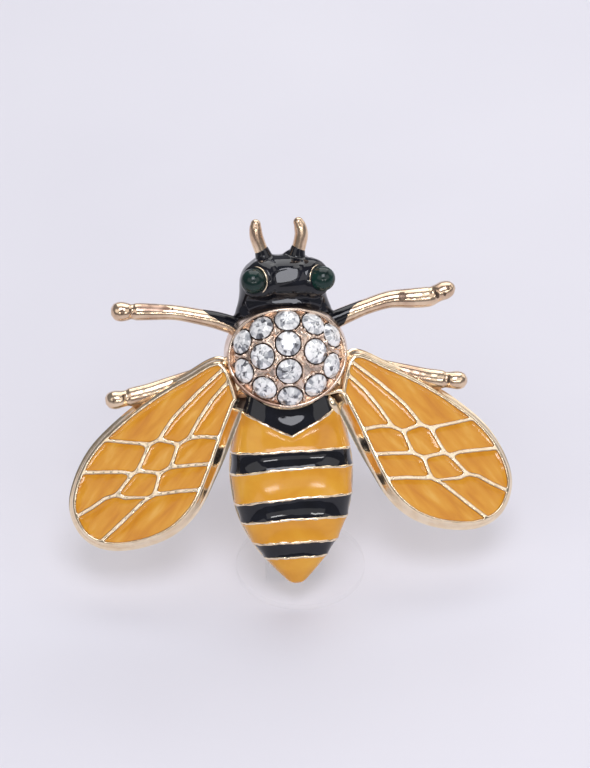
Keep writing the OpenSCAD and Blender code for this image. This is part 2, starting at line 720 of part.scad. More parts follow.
// Share of the reach, place along the bee, share of the width, share of the height, share of the knob
left_front_leg = [
    [0.2, 2.9, 0.95, 0.9, 0], [0.28, 3.36, 0.97, 0.93, 0], [0.39, 4.06, 0.92, 0.97, 0],
    [0.48, 4.48, 0.84, 1, 0], [0.62, 5.06, 0.8, 0.96, 0], [0.755, 5.28, 0.88, 0.93, 0],
    [0.845, 5.38, 0.92, 0.9, 0], [0.87, 5.4, 0.8, 0.8, 0.2], [0.892, 5.43, 0.88, 0.93, 1],
    [0.935, 5.48, 1, 1, 1], [0.972, 5.5, 0.8, 0.87, 1], [0.99, 5.5, 0.34, 0.55, 1]
];
right_front_leg = [
    [0.2, 2.86, 0.95, 0.9, 0], [0.28, 3.3, 0.97, 0.93, 0], [0.39, 4.04, 0.9, 0.97, 0],
    [0.48, 4.58, 0.84, 1, 0], [0.62, 5.2, 0.92, 1, 0], [0.755, 5.2, 1.06, 1, 0],
    [0.85, 5.25, 1.08, 0.95, 0], [0.878, 5.4, 0.95, 0.85, 0.2], [0.905, 5.6, 0.9, 0.95, 1],
    [0.945, 5.85, 0.94, 1, 1], [0.982, 6.1, 0.7, 0.87, 1], [1, 6.2, 0.3, 0.55, 1]
];
rear_leg = [
    [0.26, -0.5, 0.95, 0.62, 0], [0.5, -1.75, 0.95, 0.7, 0], [0.67, -2.6, 0.98, 0.8, 0],
    [0.77, -3.1, 1, 0.86, 0], [0.86, -3.42, 1, 0.83, 0], [0.882, -3.48, 0.86, 0.74, 0.2],
    [0.905, -3.53, 0.84, 0.9, 1], [0.95, -3.6, 0.94, 0.97, 1], [0.984, -3.66, 0.74, 0.8, 1],
    [1, -3.7, 0.33, 0.47, 1]
];

// A point of a leg's arch at a share of its reach, turned t degrees up from its head side
function leg_point(leg, reach, s, t, inset) =
    let (
        step = 0.012,
        a = [(s - step) * reach, smooth(leg, 1, s - step)],
        b = [(s + step) * reach, smooth(leg, 1, s + step)],
        along = unit(b - a),
        k = smooth(leg, 4, s),
        w = mix(leg_w, knob_w, k) / 2 * smooth(leg, 2, s) - inset,
        h = mix(leg_h, knob_h, k) * smooth(leg, 3, s) - inset,
        p = (a + b) / 2 + [-along[1], along[0]] * w * cos(t)
    )
    [p[0], p[1], h * (0.25 + 0.75 * pow(max(sin(t), 0), 0.8))];
function leg_row(leg, reach, s, from, to, steps, inset) =
    [for (j = [0:steps]) leg_point(leg, reach, s, mix(from, to, j / steps), inset)];

module leg(shape, reach) {
    loft([for (row = shape) footed(leg_row(shape, reach, row[0], 0, 180, leg_steps, 0), -below)]);
}

// Where a front leg's enamel lies: share of the reach, and how far round it reaches from the head side
leg_enamel_rows = [[0.255, 125], [0.32, 115], [0.38, 100], [0.43, 80], [0.47, 50]];

// A net over that stretch of a leg, wider by a clearance all round
function leg_net(leg, inset, clear) =
    let (
        n = len(leg_enamel_rows) - 1,
        open = clear / (leg_w / 2) * 57.3
    )
    [for (i = [0:n])
        let (
            e = leg_enamel_rows[i],
            s = e[0] + (i == 0 ? -clear : i == n ? clear : 0) / front_reach
        )
        leg_row(leg, front_reach, s, 12 - open, e[1] + open, 5, inset)];

module leg_bed(leg) {
    skin(leg_net(leg, -0.3, fit), leg_net(leg, leg_enamel_t + fit, fit));
}

module leg_enamel(leg) {
    skin(leg_net(leg, 0, 0), leg_net(leg, leg_enamel_t, 0));
}

module leg_enamel_left() {
    color(black) placed() mirror([1, 0, 0]) leg_enamel(left_front_leg);
}

module leg_enamel_right() {
    color(black) placed() leg_enamel(right_front_leg);
}

// Casting

module casting() {
    color(gold) placed() difference() {
        union() {
            thorax_body();
            abdomen_edge();
            abdomen_core();
            head_solid(enamel_t + fit, -below);
            for (x = [-left_eye_x, right_eye_x]) at_eye(x) eye_cup();
            for (side = [-1, 1]) rod(antenna_path, side, 0);
            both_sides() {
                at_wing() wing_tray();
                leg(rear_leg, rear_reach);
            }
            mirror([1, 0, 0]) leg(left_front_leg, front_reach);
            leg(right_front_leg, front_reach);
        }
        mirror([1, 0, 0]) leg_bed(left_front_leg);
        leg_bed(right_front_leg);
        for (i = [0:STONES - 1]) on_dome(i) stone_seat();
        for (x = [-left_eye_x, right_eye_x]) at_eye(x) eye_bore();
        abdomen_hollow();
        translate([-30, -30, -5]) cube([60, 60, 5]);
    }
}

// Pin

block_h = bar_t + 2 * tongue_play + tongue_t + stem_d;
stem_z = -fit - bar_t - 2 * tongue_play - tongue_t - stem_d / 2;

module pin_back() {
    color(steel) placed() translate([0, bar_y, 0]) {
        translate([-bar_len / 2, -bar_w / 2, -fit - bar_t]) cube([bar_len, bar_w, bar_t]);
        for (x = [-bar_len / 2, bar_len / 2 - block_len])
            translate([x, -stem_d, -fit - block_h - 0.2]) cube([block_len, 2 * stem_d, block_h + 0.2]);
        translate([-bar_len / 2 + block_len / 2, 0, stem_z]) rotate([0, 90, 0])
            cylinder(d = stem_d, h = bar_len - block_len, $fn = 32);
    }
}

// Stand

tongue_z = -fit - bar_t - tongue_play - tongue_t;

module display_stand() {
    top_y = bar_y + tongue_over + tongue_w / 2;
    tongue_foot_y = tail_y - 6;
    tongue_len = top_y - tongue_w / 2 - tongue_foot_y;
    color(clear_plastic) {
        cylinder(d = foot_d, h = foot_t, $fn = 96);
        translate([side_shift - tongue_w / 2, 0, 0]) cube([tongue_w, heel_reach - tongue_w / 2, foot_t]);
        translate([side_shift, heel_reach - tongue_w / 2, 0]) cylinder(d = tongue_w, h = foot_t, $fn = 64);
        intersection() {
            placed() translate([0, 0, tongue_z]) {
                translate([-tongue_w / 2, tongue_foot_y, 0]) cube([tongue_w, tongue_len, tongue_t]);
                translate([0, top_y - tongue_w / 2, 0]) cylinder(d = tongue_w, h = tongue_t, $fn = 64);
            }
            translate([-foot_d, -foot_d, 0]) cube([2 * foot_d, 4 * foot_d, 4 * foot_d]);
        }
    }
}

casting();
head_enamel();
leg_enamel_left();
leg_enamel_right();
for (i = [0:BANDS - 1]) band(i);
eye(-left_eye_x);  // eye_left
eye(right_eye_x);  // eye_right
pin_back();
display_stand();
for (i = [1:STONES]) stone(i - 1);
for (i = [1:CELLS]) wing_cell(i - 1);
for (i = [1:CELLS]) left_wing_cell(i - 1);
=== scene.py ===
import math

import bmesh
import bpy
import numpy as np
from mathutils import Matrix, Vector, geometry


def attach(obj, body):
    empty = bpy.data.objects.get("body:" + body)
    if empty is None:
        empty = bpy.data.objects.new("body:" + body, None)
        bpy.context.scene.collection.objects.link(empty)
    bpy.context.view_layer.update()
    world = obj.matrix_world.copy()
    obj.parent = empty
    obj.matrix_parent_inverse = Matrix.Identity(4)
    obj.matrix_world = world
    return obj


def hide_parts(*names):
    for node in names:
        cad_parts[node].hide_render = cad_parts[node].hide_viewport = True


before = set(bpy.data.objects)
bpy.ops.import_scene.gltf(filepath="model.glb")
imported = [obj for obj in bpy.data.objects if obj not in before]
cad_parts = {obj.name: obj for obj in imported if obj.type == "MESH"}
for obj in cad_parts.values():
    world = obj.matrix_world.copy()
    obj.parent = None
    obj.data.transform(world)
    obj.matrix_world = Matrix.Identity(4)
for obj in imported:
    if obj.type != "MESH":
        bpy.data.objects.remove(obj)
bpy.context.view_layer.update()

# Sizes in mm, in the bee's own frame: head along +Y, back on Z = 0, thorax over the origin
LEAN = math.radians(58)
TAIL_LIFT, TAIL_AHEAD, SIDE_SHIFT = 2.2, 4.7, -0.9
FIT = 0.04
THORAX_W, THORAX_LEN, THORAX_H = 12.8, 10.6, 6.6
THORAX_GIRDLE, FLANK, RIM_W, RIM_LIP = 1.18, 0.25, 0.45, 0.28
# The thorax's front edge lies further out than half its length, and its tail edge less far
THORAX_AHEAD, THORAX_BEHIND = 1.05, 0.975
DOME_R = 6.27
DOME_Z = THORAX_H - DOME_R
THORAX_SQUARE, TAIL_SQUARE, ABDOMEN_SQUARE, HEAD_SQUARE = 2.2, 1.84, 3, 2.3
STONE_D = 2.52
# Steps along the stones' map from one stone to the next, in radii
STONE_STEP = 4
ABDOMEN_LEN, ABDOMEN_W, ABDOMEN_H = 20.7, 12.8, 4.8
ABDOMEN_TUCK, ABDOMEN_SKIRT = 2.3, 0.9
METAL_WALL, ENAMEL_T = 1.0, 0.45
HEAD_W, HEAD_LEN, HEAD_H, HEAD_TUCK, HEAD_SKIRT = 8.78, 6.35, 5.0, 1.1, 0.4
EYE_D, EYE_SIDE, CUP_WALL, EYE_TILT = 2.54, 0.45, 0.16, math.radians(42)
CUP_RISE = 0.25
EYES = {"left": (-2.75, 0.632), "right": (3.5, 0.602)}
ANTENNA_LEN, ANTENNA_D, ANTENNA_LEAN, ANTENNA_TUCK = 5.64, 1.36, 0.04, 2.1
WING_LEN, WING_W, WING_T, WING_DRAFT, WING_Z = 22.8, 11.9, 1.31, 0.5, 3.2
WING_SWEEP, WING_TILT, WING_DROOP = (math.radians(a) for a in (49, 12.4, 3.4))
WING_RIM, VEIN_W, CELL_DEPTH, CELL_CORNER = 0.42, 0.34, 0.55, 0.75
WING_ROOT = (THORAX_W / 2 - 0.23, -0.62, WING_Z)
FRONT_REACH, REAR_REACH = 17.85, 18.74
LEG_W, LEG_H, KNOB_W, KNOB_H, LEG_ENAMEL_T = 1.92, 1.4, 2.0, 1.46, 0.22
# Points over a leg from side to side
LEG_TURNS = 29

ABDOMEN_Y = -(THORAX_LEN / 2 - ABDOMEN_TUCK)
TAIL_Y = ABDOMEN_Y - ABDOMEN_LEN
HEAD_Y = THORAX_LEN / 2 - HEAD_TUCK
PLACE = Matrix.Translation((
    SIDE_SHIFT,
    -TAIL_AHEAD - TAIL_Y * math.cos(LEAN),
    TAIL_LIFT - TAIL_Y * math.sin(LEAN),
)) @ Matrix.Rotation(LEAN, 4, "X")
MM = 0.001

# Tables, close to those in the part's source
STONE_PLACES = [
    (0.005, 0.652), (-0.012, 0.29), (-0.018, -0.156), (-0.01, -0.586),
    (0.428, 0.565), (0.735, 0.352), (0.432, 0.132), (0.7, -0.135), (0.413, -0.425),
    (-0.42, 0.545), (-0.735, 0.325), (-0.435, 0.1), (-0.735, -0.142), (-0.418, -0.42),
]
ABDOMEN_SHAPE = [
    (0, 0.7, 0.78), (0.1, 0.81, 0.85), (0.185, 0.9, 0.91), (0.335, 0.98, 0.98), (0.44, 1, 1),
    (0.59, 0.945, 0.99), (0.71, 0.82, 0.93), (0.81, 0.633, 0.82), (0.905, 0.39, 0.65),
    (0.97, 0.195, 0.48), (1, 0.095, 0.4),
]
BAND_EDGES = [
    (0.239, 0.138, 0, 0), (0.3115, 0, 0.004, 0), (0.3985, 0, 0.018, 0.008), (0.546, 0, 0.017, 0.012),
    (0.652, 0, 0.0145, 0.005), (0.7705, 0, 0.006, 0), (0.85, 0, 0.005, 0),
]
HEAD_SHAPE = [
    (0, 1.16, 0.62), (0.1, 1.13, 0.64), (0.22, 1.07, 0.66), (0.313, 1.035, 0.78), (0.44, 1.01, 0.93),
    (0.56, 1.0, 0.985), (0.64, 0.985, 0.985), (0.72, 0.945, 0.955), (0.79, 0.89, 0.92), (0.86, 0.8, 0.87),
    (0.92, 0.68, 0.76), (0.965, 0.58, 0.64), (1, 0.46, 0.5),
]
ANTENNA_PATH = [
    (-0.1, 0.27, 0.32, 1), (0.28, 0.33, 0.38, 1), (0.5, 0.375, 0.42, 1.02), (0.72, 0.405, 0.46, 1.02),
    (0.88, 0.415, 0.49, 0.92), (0.955, 0.415, 0.5, 0.78),
]
# How far each antenna stands aside, at shares of its length
HORN_BEND = {
    -1: [(0, 0.1), (0.4, 0.16), (0.6, -0.06), (0.8, -0.12), (1, 0.04)],
    1: [(0, -0.3), (0.4, -0.4), (0.6, -0.12), (0.8, -0.06), (1, -0.36)],
}
SLEEVE_PATH = [
    (-0.2, 0.25, 0.26, 1.75), (0.13, 0.3, 0.33, 1.68), (0.31, 0.335, 0.385, 1.4),
    (0.45, 0.362, 0.41, 1.14),
]
WING_OUTLINE = [
    (0.07, -0.205), (0.12, -0.25), (0.25, -0.33), (0.415, -0.44), (0.585, -0.525), (0.74, -0.49),
    (0.88, -0.335), (0.975, -0.135), (1, 0.075), (0.95, 0.285), (0.845, 0.41), (0.69, 0.475),
    (0.515, 0.445), (0.33, 0.36), (0.155, 0.235), (0, 0.085),
]
CROSSINGS = [
    (0.175, 0.071), (0.33, 0.1), (0.45, 0.08), (0.491, 0.118),
    (0.154, -0.067), (0.263, -0.084), (0.357, -0.116), (0.41, -0.077), (0.425, -0.008),
    (0.318, -0.185), (0.561, 0.084), (0.62, 0.057), (0.467, -0.118), (0.511, -0.147),
    (0.561, -0.109), (0.588, -0.032), (0.46, -0.248), (0.645, 0.073), (0.667, 0.155),
    (0.765, 0.071), (0.811, 0.13), (0.886, 0.172), (0.61, -0.147), (0.654, -0.185),
    (0.684, -0.164), (0.75, -0.004), (0.566, -0.345), (0.71, -0.147), (0.794, -0.126), (0.875, -0.105),
]
RIM_PLACES = [2.1, 2.8, 3.5, 7.25, 8.75, 10.4, 11.5, 15.25, 15.57]
CELLS = [
    [0, 1, 2, 3, (6, 7)],
    [4, 5, 6, 7, 8, 2, 1, 0, (7, 8)],
    [(8, 0), 9, 6, 5, 4],
    [3, 10, 11, 17, 18, (5, 6)],
    [7, 12, 13, 14, 15, 11, 10, 3, 2, 8],
    [(0, 1), 16, 13, 12, 7, 6, 9],
    [17, 19, 20, 21, (4, 5), 18],
    [14, 22, 23, 24, 25, 19, 17, 11, 15],
    [(1, 2), 26, 23, 22, 14, 13, 16],
    [24, 27, 28, 29, (3, 4), 21, 20, 19, 25],
    [(2, 3), 29, 28, 27, 24, 23, 26],
]
LEFT_FRONT_LEG = [
    (0.2, 2.9, 0.95, 0.9, 0), (0.28, 3.36, 0.97, 0.93, 0), (0.39, 4.06, 0.92, 0.97, 0),
    (0.48, 4.48, 0.84, 1, 0), (0.62, 5.06, 0.8, 0.96, 0), (0.755, 5.28, 0.88, 0.93, 0),
    (0.845, 5.38, 0.92, 0.9, 0), (0.87, 5.4, 0.8, 0.8, 0.2), (0.892, 5.43, 0.88, 0.93, 1),
    (0.935, 5.48, 1, 1, 1), (0.972, 5.5, 0.8, 0.87, 1), (0.99, 5.5, 0.34, 0.55, 1),
]
RIGHT_FRONT_LEG = [
    (0.2, 2.86, 0.95, 0.9, 0), (0.28, 3.3, 0.97, 0.93, 0), (0.39, 4.04, 0.9, 0.97, 0),
    (0.48, 4.58, 0.84, 1, 0), (0.62, 5.2, 0.92, 1, 0), (0.755, 5.2, 1.06, 1, 0),
    (0.85, 5.25, 1.08, 0.95, 0), (0.878, 5.4, 0.95, 0.85, 0.2), (0.905, 5.6, 0.9, 0.95, 1),
    (0.945, 5.85, 0.94, 1, 1), (0.982, 6.1, 0.7, 0.87, 1), (1, 6.2, 0.3, 0.55, 1),
]
REAR_LEG = [
    (0.26, -0.5, 0.95, 0.62, 0), (0.5, -1.75, 0.95, 0.7, 0), (0.67, -2.6, 0.98, 0.8, 0),
    (0.77, -3.1, 1, 0.86, 0), (0.86, -3.42, 1, 0.83, 0), (0.882, -3.48, 0.86, 0.74, 0.2),
    (0.905, -3.53, 0.84, 0.9, 1), (0.95, -3.6, 0.94, 0.97, 1), (0.984, -3.66, 0.74, 0.8, 1),
    (1, -3.7, 0.33, 0.47, 1),
]
# How far down the legs the black reaches, which the hand that filled them left uneven
LEFT_ENAMEL_ROWS = [(0.255, 115), (0.32, 96), (0.38, 82), (0.43, 66), (0.47, 44)]
RIGHT_ENAMEL_ROWS = [(0.255, 150), (0.33, 138), (0.37, 92), (0.41, 44), (0.47, 16)]


# Curves


def unit(v):
    return v / np.linalg.norm(v)


def spow(x, p):
    """A power that keeps the sign."""
    return np.sign(x) * np.abs(x) ** p


def eased_step(t):
    """From 0 to 1 with a soft start and end."""
    t = np.clip(t, 0, 1)
    return t * t * (3 - 2 * t)


def smooth(table, col, s):
    """A smooth value from one column of a table whose first column rises."""
    t = np.asarray(table, float)
    s = np.asarray(s, float)
    n = len(t)
    before, after = np.maximum(np.arange(n) - 1, 0), np.minimum(np.arange(n) + 1, n - 1)
    slope = (t[after, col] - t[before, col]) / (t[after, 0] - t[before, 0])
    i = np.clip(np.searchsorted(t[:, 0], s, side="right") - 1, 0, n - 2)
    span = t[i + 1, 0] - t[i, 0]
    u = (s - t[i, 0]) / span
    return (
        (2 * u**3 - 3 * u**2 + 1) * t[i, col]
        + (u**3 - 2 * u**2 + u) * slope[i] * span
        + (3 * u**2 - 2 * u**3) * t[i + 1, col]
        + (u**3 - u**2) * slope[i + 1] * span
    )


def between(a, b, c, d, t):
    """A share of the way from b to c, on a smooth curve through four points in turn."""
    return (2 * b + (c - a) * t + (2 * a - 5 * b + 4 * c - d) * t**2 + (3 * b - 3 * c + d - a) * t**3) / 2


def closed_curve(points, p):
    """Points of the closed curve through the points, at places p counted in points."""
    pts = np.asarray(points, float)
    i = np.floor(p).astype(int)
    return between(*(pts[(i + k) % len(pts)] for k in (-1, 0, 1, 2)), (p - i)[:, None])


def open_curve(points, count):
    """Even samples of a smooth curve through the rows of points, whatever their columns hold."""
    pts = np.asarray(points, float)
    pts = np.vstack([2 * pts[0] - pts[1], pts, 2 * pts[-1] - pts[-2]])
    p = np.linspace(1, len(pts) - 2 - 1e-9, count)
    i = np.floor(p).astype(int)
    return between(*(pts[i + k] for k in (-1, 0, 1, 2)), (p - i)[:, None])


def even_arch(power, n, w, h, full=False):
    """Shares of the half width and of the height along a squared arch, evenly spaced."""
    a = np.linspace(0, (2 if full else 1) * np.pi, 8001)
    u, v = spow(np.cos(a), 2 / power), spow(np.sin(a), 2 / power)
    run = np.concatenate([[0], np.cumsum(np.hypot(np.diff(u * w), np.diff(v * h)))])
    s = np.linspace(0, run[-1], n + 1)
    return np.interp(s, run, u), np.interp(s, run, v)


def wavy(x, seed, scale):
    """A gentle uneven wobble between about -1 and 1."""
    total = np.zeros_like(np.asarray(x, float))
    for k, (f, a) in enumerate([(1, 0.5), (2.3, 0.3), (4.1, 0.25), (7.7, 0.15)]):
        total = total + a * np.sin(x * f / scale + seed * (1.7 + k) + k * 2.1)
    return total


# Meshes


def ring_faces(m, n):
    """Four-sided faces between m closed rings of n points."""
    return [
        (i * n + j, (i + 1) * n + j, (i + 1) * n + (j + 1) % n, i * n + (j + 1) % n)
        for i in range(m - 1) for j in range(n)
    ]


class Mesh:
    """Points and faces that are gathered, in mm in the bee's frame."""

    def __init__(self):
        self.points, self.faces, self.mats, self.count = [], [], [], 0

    def add(self, points, faces, mat=0):
        points = np.asarray(points, float).reshape(-1, 3)
        self.points.append(points)
        self.faces += [tuple(int(i) + self.count for i in f) for f in faces]
        self.mats += [mat] * len(faces)
        self.count += len(points)

    def net(self, rings, cap=True):
        """A net of closed rings of points, with a fan over each end unless cap is False."""
        rings = np.asarray(rings, float)
        m, n = rings.shape[:2]
        faces = ring_faces(m, n)
        points = rings.reshape(-1, 3)
        if cap:
            points = np.vstack([points, rings[0].mean(0), rings[-1].mean(0)])
            for j in range(n):
                k = (j + 1) % n
                faces.append((m * n, j, k))
                faces.append((m * n + 1, (m - 1) * n + k, (m - 1) * n + j))
        self.add(points, faces)

    def skin(self, outer, inner):
        """A closed skin between two nets of the same size."""
        outer, inner = np.asarray(outer, float), np.asarray(inner, float)
        loops = np.concatenate([outer, inner[:, ::-1]], axis=1)
        m, n = loops.shape[:2]
        faces = ring_faces(m, n)
        for row in (0, m - 1):
            for j in range(outer.shape[1] - 1):
                a, b = row * n + j, row * n + j + 1
                c, d = row * n + n - 2 - j, row * n + n - 1 - j
                faces.append((a, b, c, d) if row == 0 else (d, c, b, a))
        self.add(loops, faces)

    def shape(self, name, materials=(), weld=0.0008, uv=None):
        """A plain object in the row frame."""
        me = bpy.data.meshes.new(name)
        me.from_pydata([PLACE @ Vector(p) * MM for p in np.vstack(self.points)], [], self.faces)
        for m in materials:
            me.materials.append(m)
        me.polygons.foreach_set("material_index", self.mats)
        if uv is not None:
            layer = me.uv_layers.new(name="UVMap")
            index = np.zeros(len(me.loops), int)
            me.loops.foreach_get("vertex_index", index)
            layer.data.foreach_set("uv", np.asarray(uv, float)[index].ravel())
        tidy(me, weld)
        obj = bpy.data.objects.new(name, me)
        bpy.context.scene.collection.objects.link(obj)
        return obj

    def build(self, name, materials, replaces, sharp, weld=0.0008, uv=None):
        return finish_piece(self.shape(name, materials, weld, uv), replaces, sharp)


def tidy(me, weld):
    bm = bmesh.new()
    bm.from_mesh(me)
    if weld:
        bmesh.ops.remove_doubles(bm, verts=bm.verts, dist=weld * MM)
    bmesh.ops.recalc_face_normals(bm, faces=bm.faces)
    bm.to_mesh(me)
    bm.free()


def finish_piece(obj, replaces, sharp):
    """Smooth shading up to an angle in degrees; the piece hangs from the root, and the nodes that it replaces
    are hidden.
    """
    me = obj.data
    me.polygons.foreach_set("use_smooth", [True] * len(me.polygons))
    me.update()
    me.set_sharp_from_angle(angle=math.radians(sharp))
    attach(obj, "root")
    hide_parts(*replaces)
    return obj


def apply_modifiers(obj):
    bpy.context.view_layer.update()
    graph = bpy.context.evaluated_depsgraph_get()
    me = bpy.data.meshes.new_from_object(obj.evaluated_get(graph))
    obj.modifiers.clear()
    obj.data = me


# Materials


def new_material(name, **inputs):
    """A material, its nodes and its shader with inputs set, such as Coat_Weight for Coat Weight."""
    mat = bpy.data.materials.new(name)
    mat.use_nodes = True
    shader = mat.node_tree.nodes["Principled BSDF"]
    for key, value in inputs.items():
        shader.inputs[key.replace("_", " ")].default_value = value
    return mat, mat.node_tree, shader


def coords(tree, scale=(1, 1, 1), kind="Object"):
    """Coordinates for a texture, stretched along each axis."""
    tex = tree.nodes.new("ShaderNodeTexCoord")
    mapping = tree.nodes.new("ShaderNodeMapping")
    mapping.inputs["Scale"].default_value = scale
    tree.links.new(tex.outputs[kind], mapping.inputs["Vector"])
    return mapping.outputs["Vector"]


def ramp(tree, factor, stops):
    r = tree.nodes.new("ShaderNodeValToRGB")
    while len(r.color_ramp.elements) < len(stops):
        r.color_ramp.elements.new(0.5)
    for e, (at, color) in zip(r.color_ramp.elements, stops):
        e.position = at
        e.color = (*color, 1)
    tree.links.new(factor, r.inputs["Fac"])
    return r.outputs["Color"]


def noise(tree, vector, scale, detail=3, distortion=0.0):
    n = tree.nodes.new("ShaderNodeTexNoise")
    n.inputs["Scale"].default_value = scale
    n.inputs["Detail"].default_value = detail
    n.inputs["Distortion"].default_value = distortion
    tree.links.new(vector, n.inputs["Vector"])
    return n.outputs["Fac"]


def tint(tree, shader, factor, stops):
    tree.links.new(ramp(tree, factor, stops), shader.inputs["Base Color"])


def bump(tree, shader, height, strength, distance):
    b = tree.nodes.new("ShaderNodeBump")
    b.inputs["Strength"].default_value = strength
    b.inputs["Distance"].default_value = distance * MM
    tree.links.new(height, b.inputs["Height"])
    tree.links.new(b.outputs["Normal"], shader.inputs["Normal"])


def metal(name, light, dark, rough, bump_strength=0.25, scale=900):
    mat, tree, shader = new_material(name, Metallic=1)
    where = coords(tree)
    tint(tree, shader, noise(tree, where, scale, 4), [(0.35, dark), (0.62, light)])
    greys = [(0.3, (rough[0],) * 3), (0.7, (rough[1],) * 3)]
    tree.links.new(ramp(tree, noise(tree, where, scale * 0.4), greys), shader.inputs["Roughness"])
    bump(tree, shader, noise(tree, where, scale * 1.3), bump_strength, 0.06)
    return mat


def glaze(name, stops, rough, scale=500, stretch=(1, 1, 1), kind="Object"):
    mat, tree, shader = new_material(name, Roughness=rough, IOR=1.48)
    tint(tree, shader, noise(tree, coords(tree, stretch, kind), scale, 4, 0.3), stops)
    bump(tree, shader, noise(tree, coords(tree), 350, 2), 0.06, 0.12)
    return mat


gold = metal("pale_gold", (0.95, 0.8, 0.59), (0.86, 0.68, 0.46), (0.12, 0.2))
rosy_gold = metal("rosy_gold", (0.9, 0.73, 0.6), (0.66, 0.48, 0.37), (0.18, 0.32), 0.35)
# Painted shade: a darker gold laid where shade falls, on the thorax's flank over the neck, in the stones'
# seats, along the veins' feet and over a leg's upper facet
painted_shade_gold = metal("painted_shade_gold", (0.5, 0.34, 0.26), (0.24, 0.15, 0.11), (0.3, 0.45), 0.3)
leg_gold = metal("leg_gold", (0.9, 0.7, 0.49), (0.62, 0.43, 0.3), (0.14, 0.26), 0.45, 450)
# A darker gold still: painted shade in the crevice at each wing's root, and dark spots on the legs
shade_and_spot_gold = metal("shade_and_spot_gold", (0.2, 0.14, 0.1), (0.09, 0.06, 0.045), (0.3, 0.45), 0.3)
pin_metal = metal("pin_gold", (0.8, 0.68, 0.48), (0.72, 0.6, 0.42), (0.22, 0.32), 0.15)
black_glaze = glaze("black_enamel", [(0.3, (0.004, 0.004, 0.006)), (0.7, (0.009, 0.01, 0.016))], 0.05)
orange_glaze = glaze("orange_enamel", [
    (0.3, (0.66, 0.27, 0.022)), (0.5, (0.76, 0.34, 0.03)), (0.72, (0.82, 0.41, 0.045)),
], 0.13, 260)
wing_glaze = glaze("wing_enamel", [
    (0.25, (0.62, 0.22, 0.012)), (0.45, (0.71, 0.29, 0.018)), (0.6, (0.76, 0.34, 0.03)),
    (0.78, (0.84, 0.46, 0.09)),
], 0.1, 2.4, (1, 4.5, 1), "UV")


def emerald():
    mat, tree, shader = new_material("green_glass", Roughness=0.2, IOR=1.45)
    where = coords(tree)
    stops = [(0.3, (0.001, 0.009, 0.008)), (0.7, (0.004, 0.034, 0.026))]
    tint(tree, shader, noise(tree, where, 700, 4, 0.5), stops)
    bump(tree, shader, noise(tree, where, 500, 2), 0.12, 0.08)
    return mat


def stone_with_painted_glints():
    """A foiled glass stone, its facets by angle and distance from its middle, on a UV map in radii, with a
    painted reflection in each facet's colour.
    """
    mat, tree, shader = new_material(
        "clear_stone", Metallic=0.12, Roughness=0.12, Coat_Weight=0.4, Coat_Roughness=0.02,
    )

    def calc(operation, *values):
        """A sum on values that are numbers or sockets."""
        n = tree.nodes.new("ShaderNodeMath")
        n.operation = operation
        for socket, value in zip(n.inputs, values):
            if isinstance(value, (int, float)):
                socket.default_value = value
            else:
                tree.links.new(value, socket)
        return n.outputs[0]

    uv = tree.nodes.new("ShaderNodeTexCoord").outputs["UV"]
    split = tree.nodes.new("ShaderNodeSeparateXYZ")
    tree.links.new(uv, split.inputs[0])
    # Each stone has its own stretch of the map
    which = calc("FLOOR", calc("DIVIDE", split.outputs["X"], float(STONE_STEP)))
    x = calc("SUBTRACT", calc("WRAP", split.outputs["X"], float(STONE_STEP), 0.0), STONE_STEP / 2)
    y = split.outputs["Y"]
    turn = calc("DIVIDE", calc("ARCTAN2", y, x), 2 * math.pi)
    far = calc("SQRT", calc("ADD", calc("MULTIPLY", x, x), calc("MULTIPLY", y, y)))
    ring = calc("FLOOR", calc("MULTIPLY", far, 3.1))
    sector = calc("FLOOR", calc("ADD", calc("MULTIPLY", turn, 16.0), calc("MULTIPLY", ring, 0.5)))
    join = tree.nodes.new("ShaderNodeCombineXYZ")
    for socket, value in zip(join.inputs, (sector, ring, calc("ADD", which, 5.0))):
        tree.links.new(value, socket)
    facet = tree.nodes.new("ShaderNodeTexWhiteNoise")
    tree.links.new(join.outputs[0], facet.inputs["Vector"])
    shard = tree.nodes.new("ShaderNodeTexVoronoi")
    shard.inputs["Scale"].default_value = 2.6
    tree.links.new(uv, shard.inputs["Vector"])
    grey = tree.nodes.new("ShaderNodeSeparateColor")
    tree.links.new(shard.outputs["Color"], grey.inputs[0])
    parts = calc("MULTIPLY", facet.outputs["Value"], 0.55), calc("MULTIPLY", grey.outputs[0], 0.45)
    # Painted reflections: each facet and shard gets a grey from near black to white, in place of the light
    # and dark that the facets throw back
    tint(tree, shader, calc("ADD", *parts), [
        (0.12, (0.1, 0.1, 0.11)), (0.25, (0.3, 0.31, 0.34)), (0.38, (0.56, 0.57, 0.58)),
        (0.5, (0.82, 0.82, 0.81)), (0.63, (1.0, 0.99, 0.98)),
    ])
    return mat


def clear_plastic():
    """The stand's material, and one for the rim of its foot, less clear, whose pale colour is a painted glint
    along the rim.
    """
    found = []
    for name, alpha in (("clear_plastic", 0.005), ("clear_plastic_painted_edge_glint", 0.09)):
        mat, tree, shader = new_material(name, Roughness=0.08, IOR=1.3, Alpha=alpha)
        stops = [(0.3, (0.93, 0.92, 0.93)), (0.7, (1.0, 0.99, 1.0))]
        tint(tree, shader, noise(tree, coords(tree), 120, 2), stops)
        found.append(mat)
    return found


# Abdomen

A_STEPS = 96
A_U, A_V = even_arch(ABDOMEN_SQUARE, A_STEPS, ABDOMEN_W / 2, ABDOMEN_H)
A_V = np.maximum(A_V, 0)
# Places across the abdomen in mm, where it is widest
A_X = A_U * ABDOMEN_W / 2


def abdomen_row(ys, inset, lift=0.0):
    s = (ABDOMEN_Y - ys) / ABDOMEN_LEN
    w = np.maximum(ABDOMEN_W / 2 * smooth(ABDOMEN_SHAPE, 1, s) - inset, 0.12)
    h = ABDOMEN_H * smooth(ABDOMEN_SHAPE, 2, s) - ABDOMEN_SKIRT - inset + lift
    return np.stack([w * A_U, ys, ABDOMEN_SKIRT + h * A_V], 1)


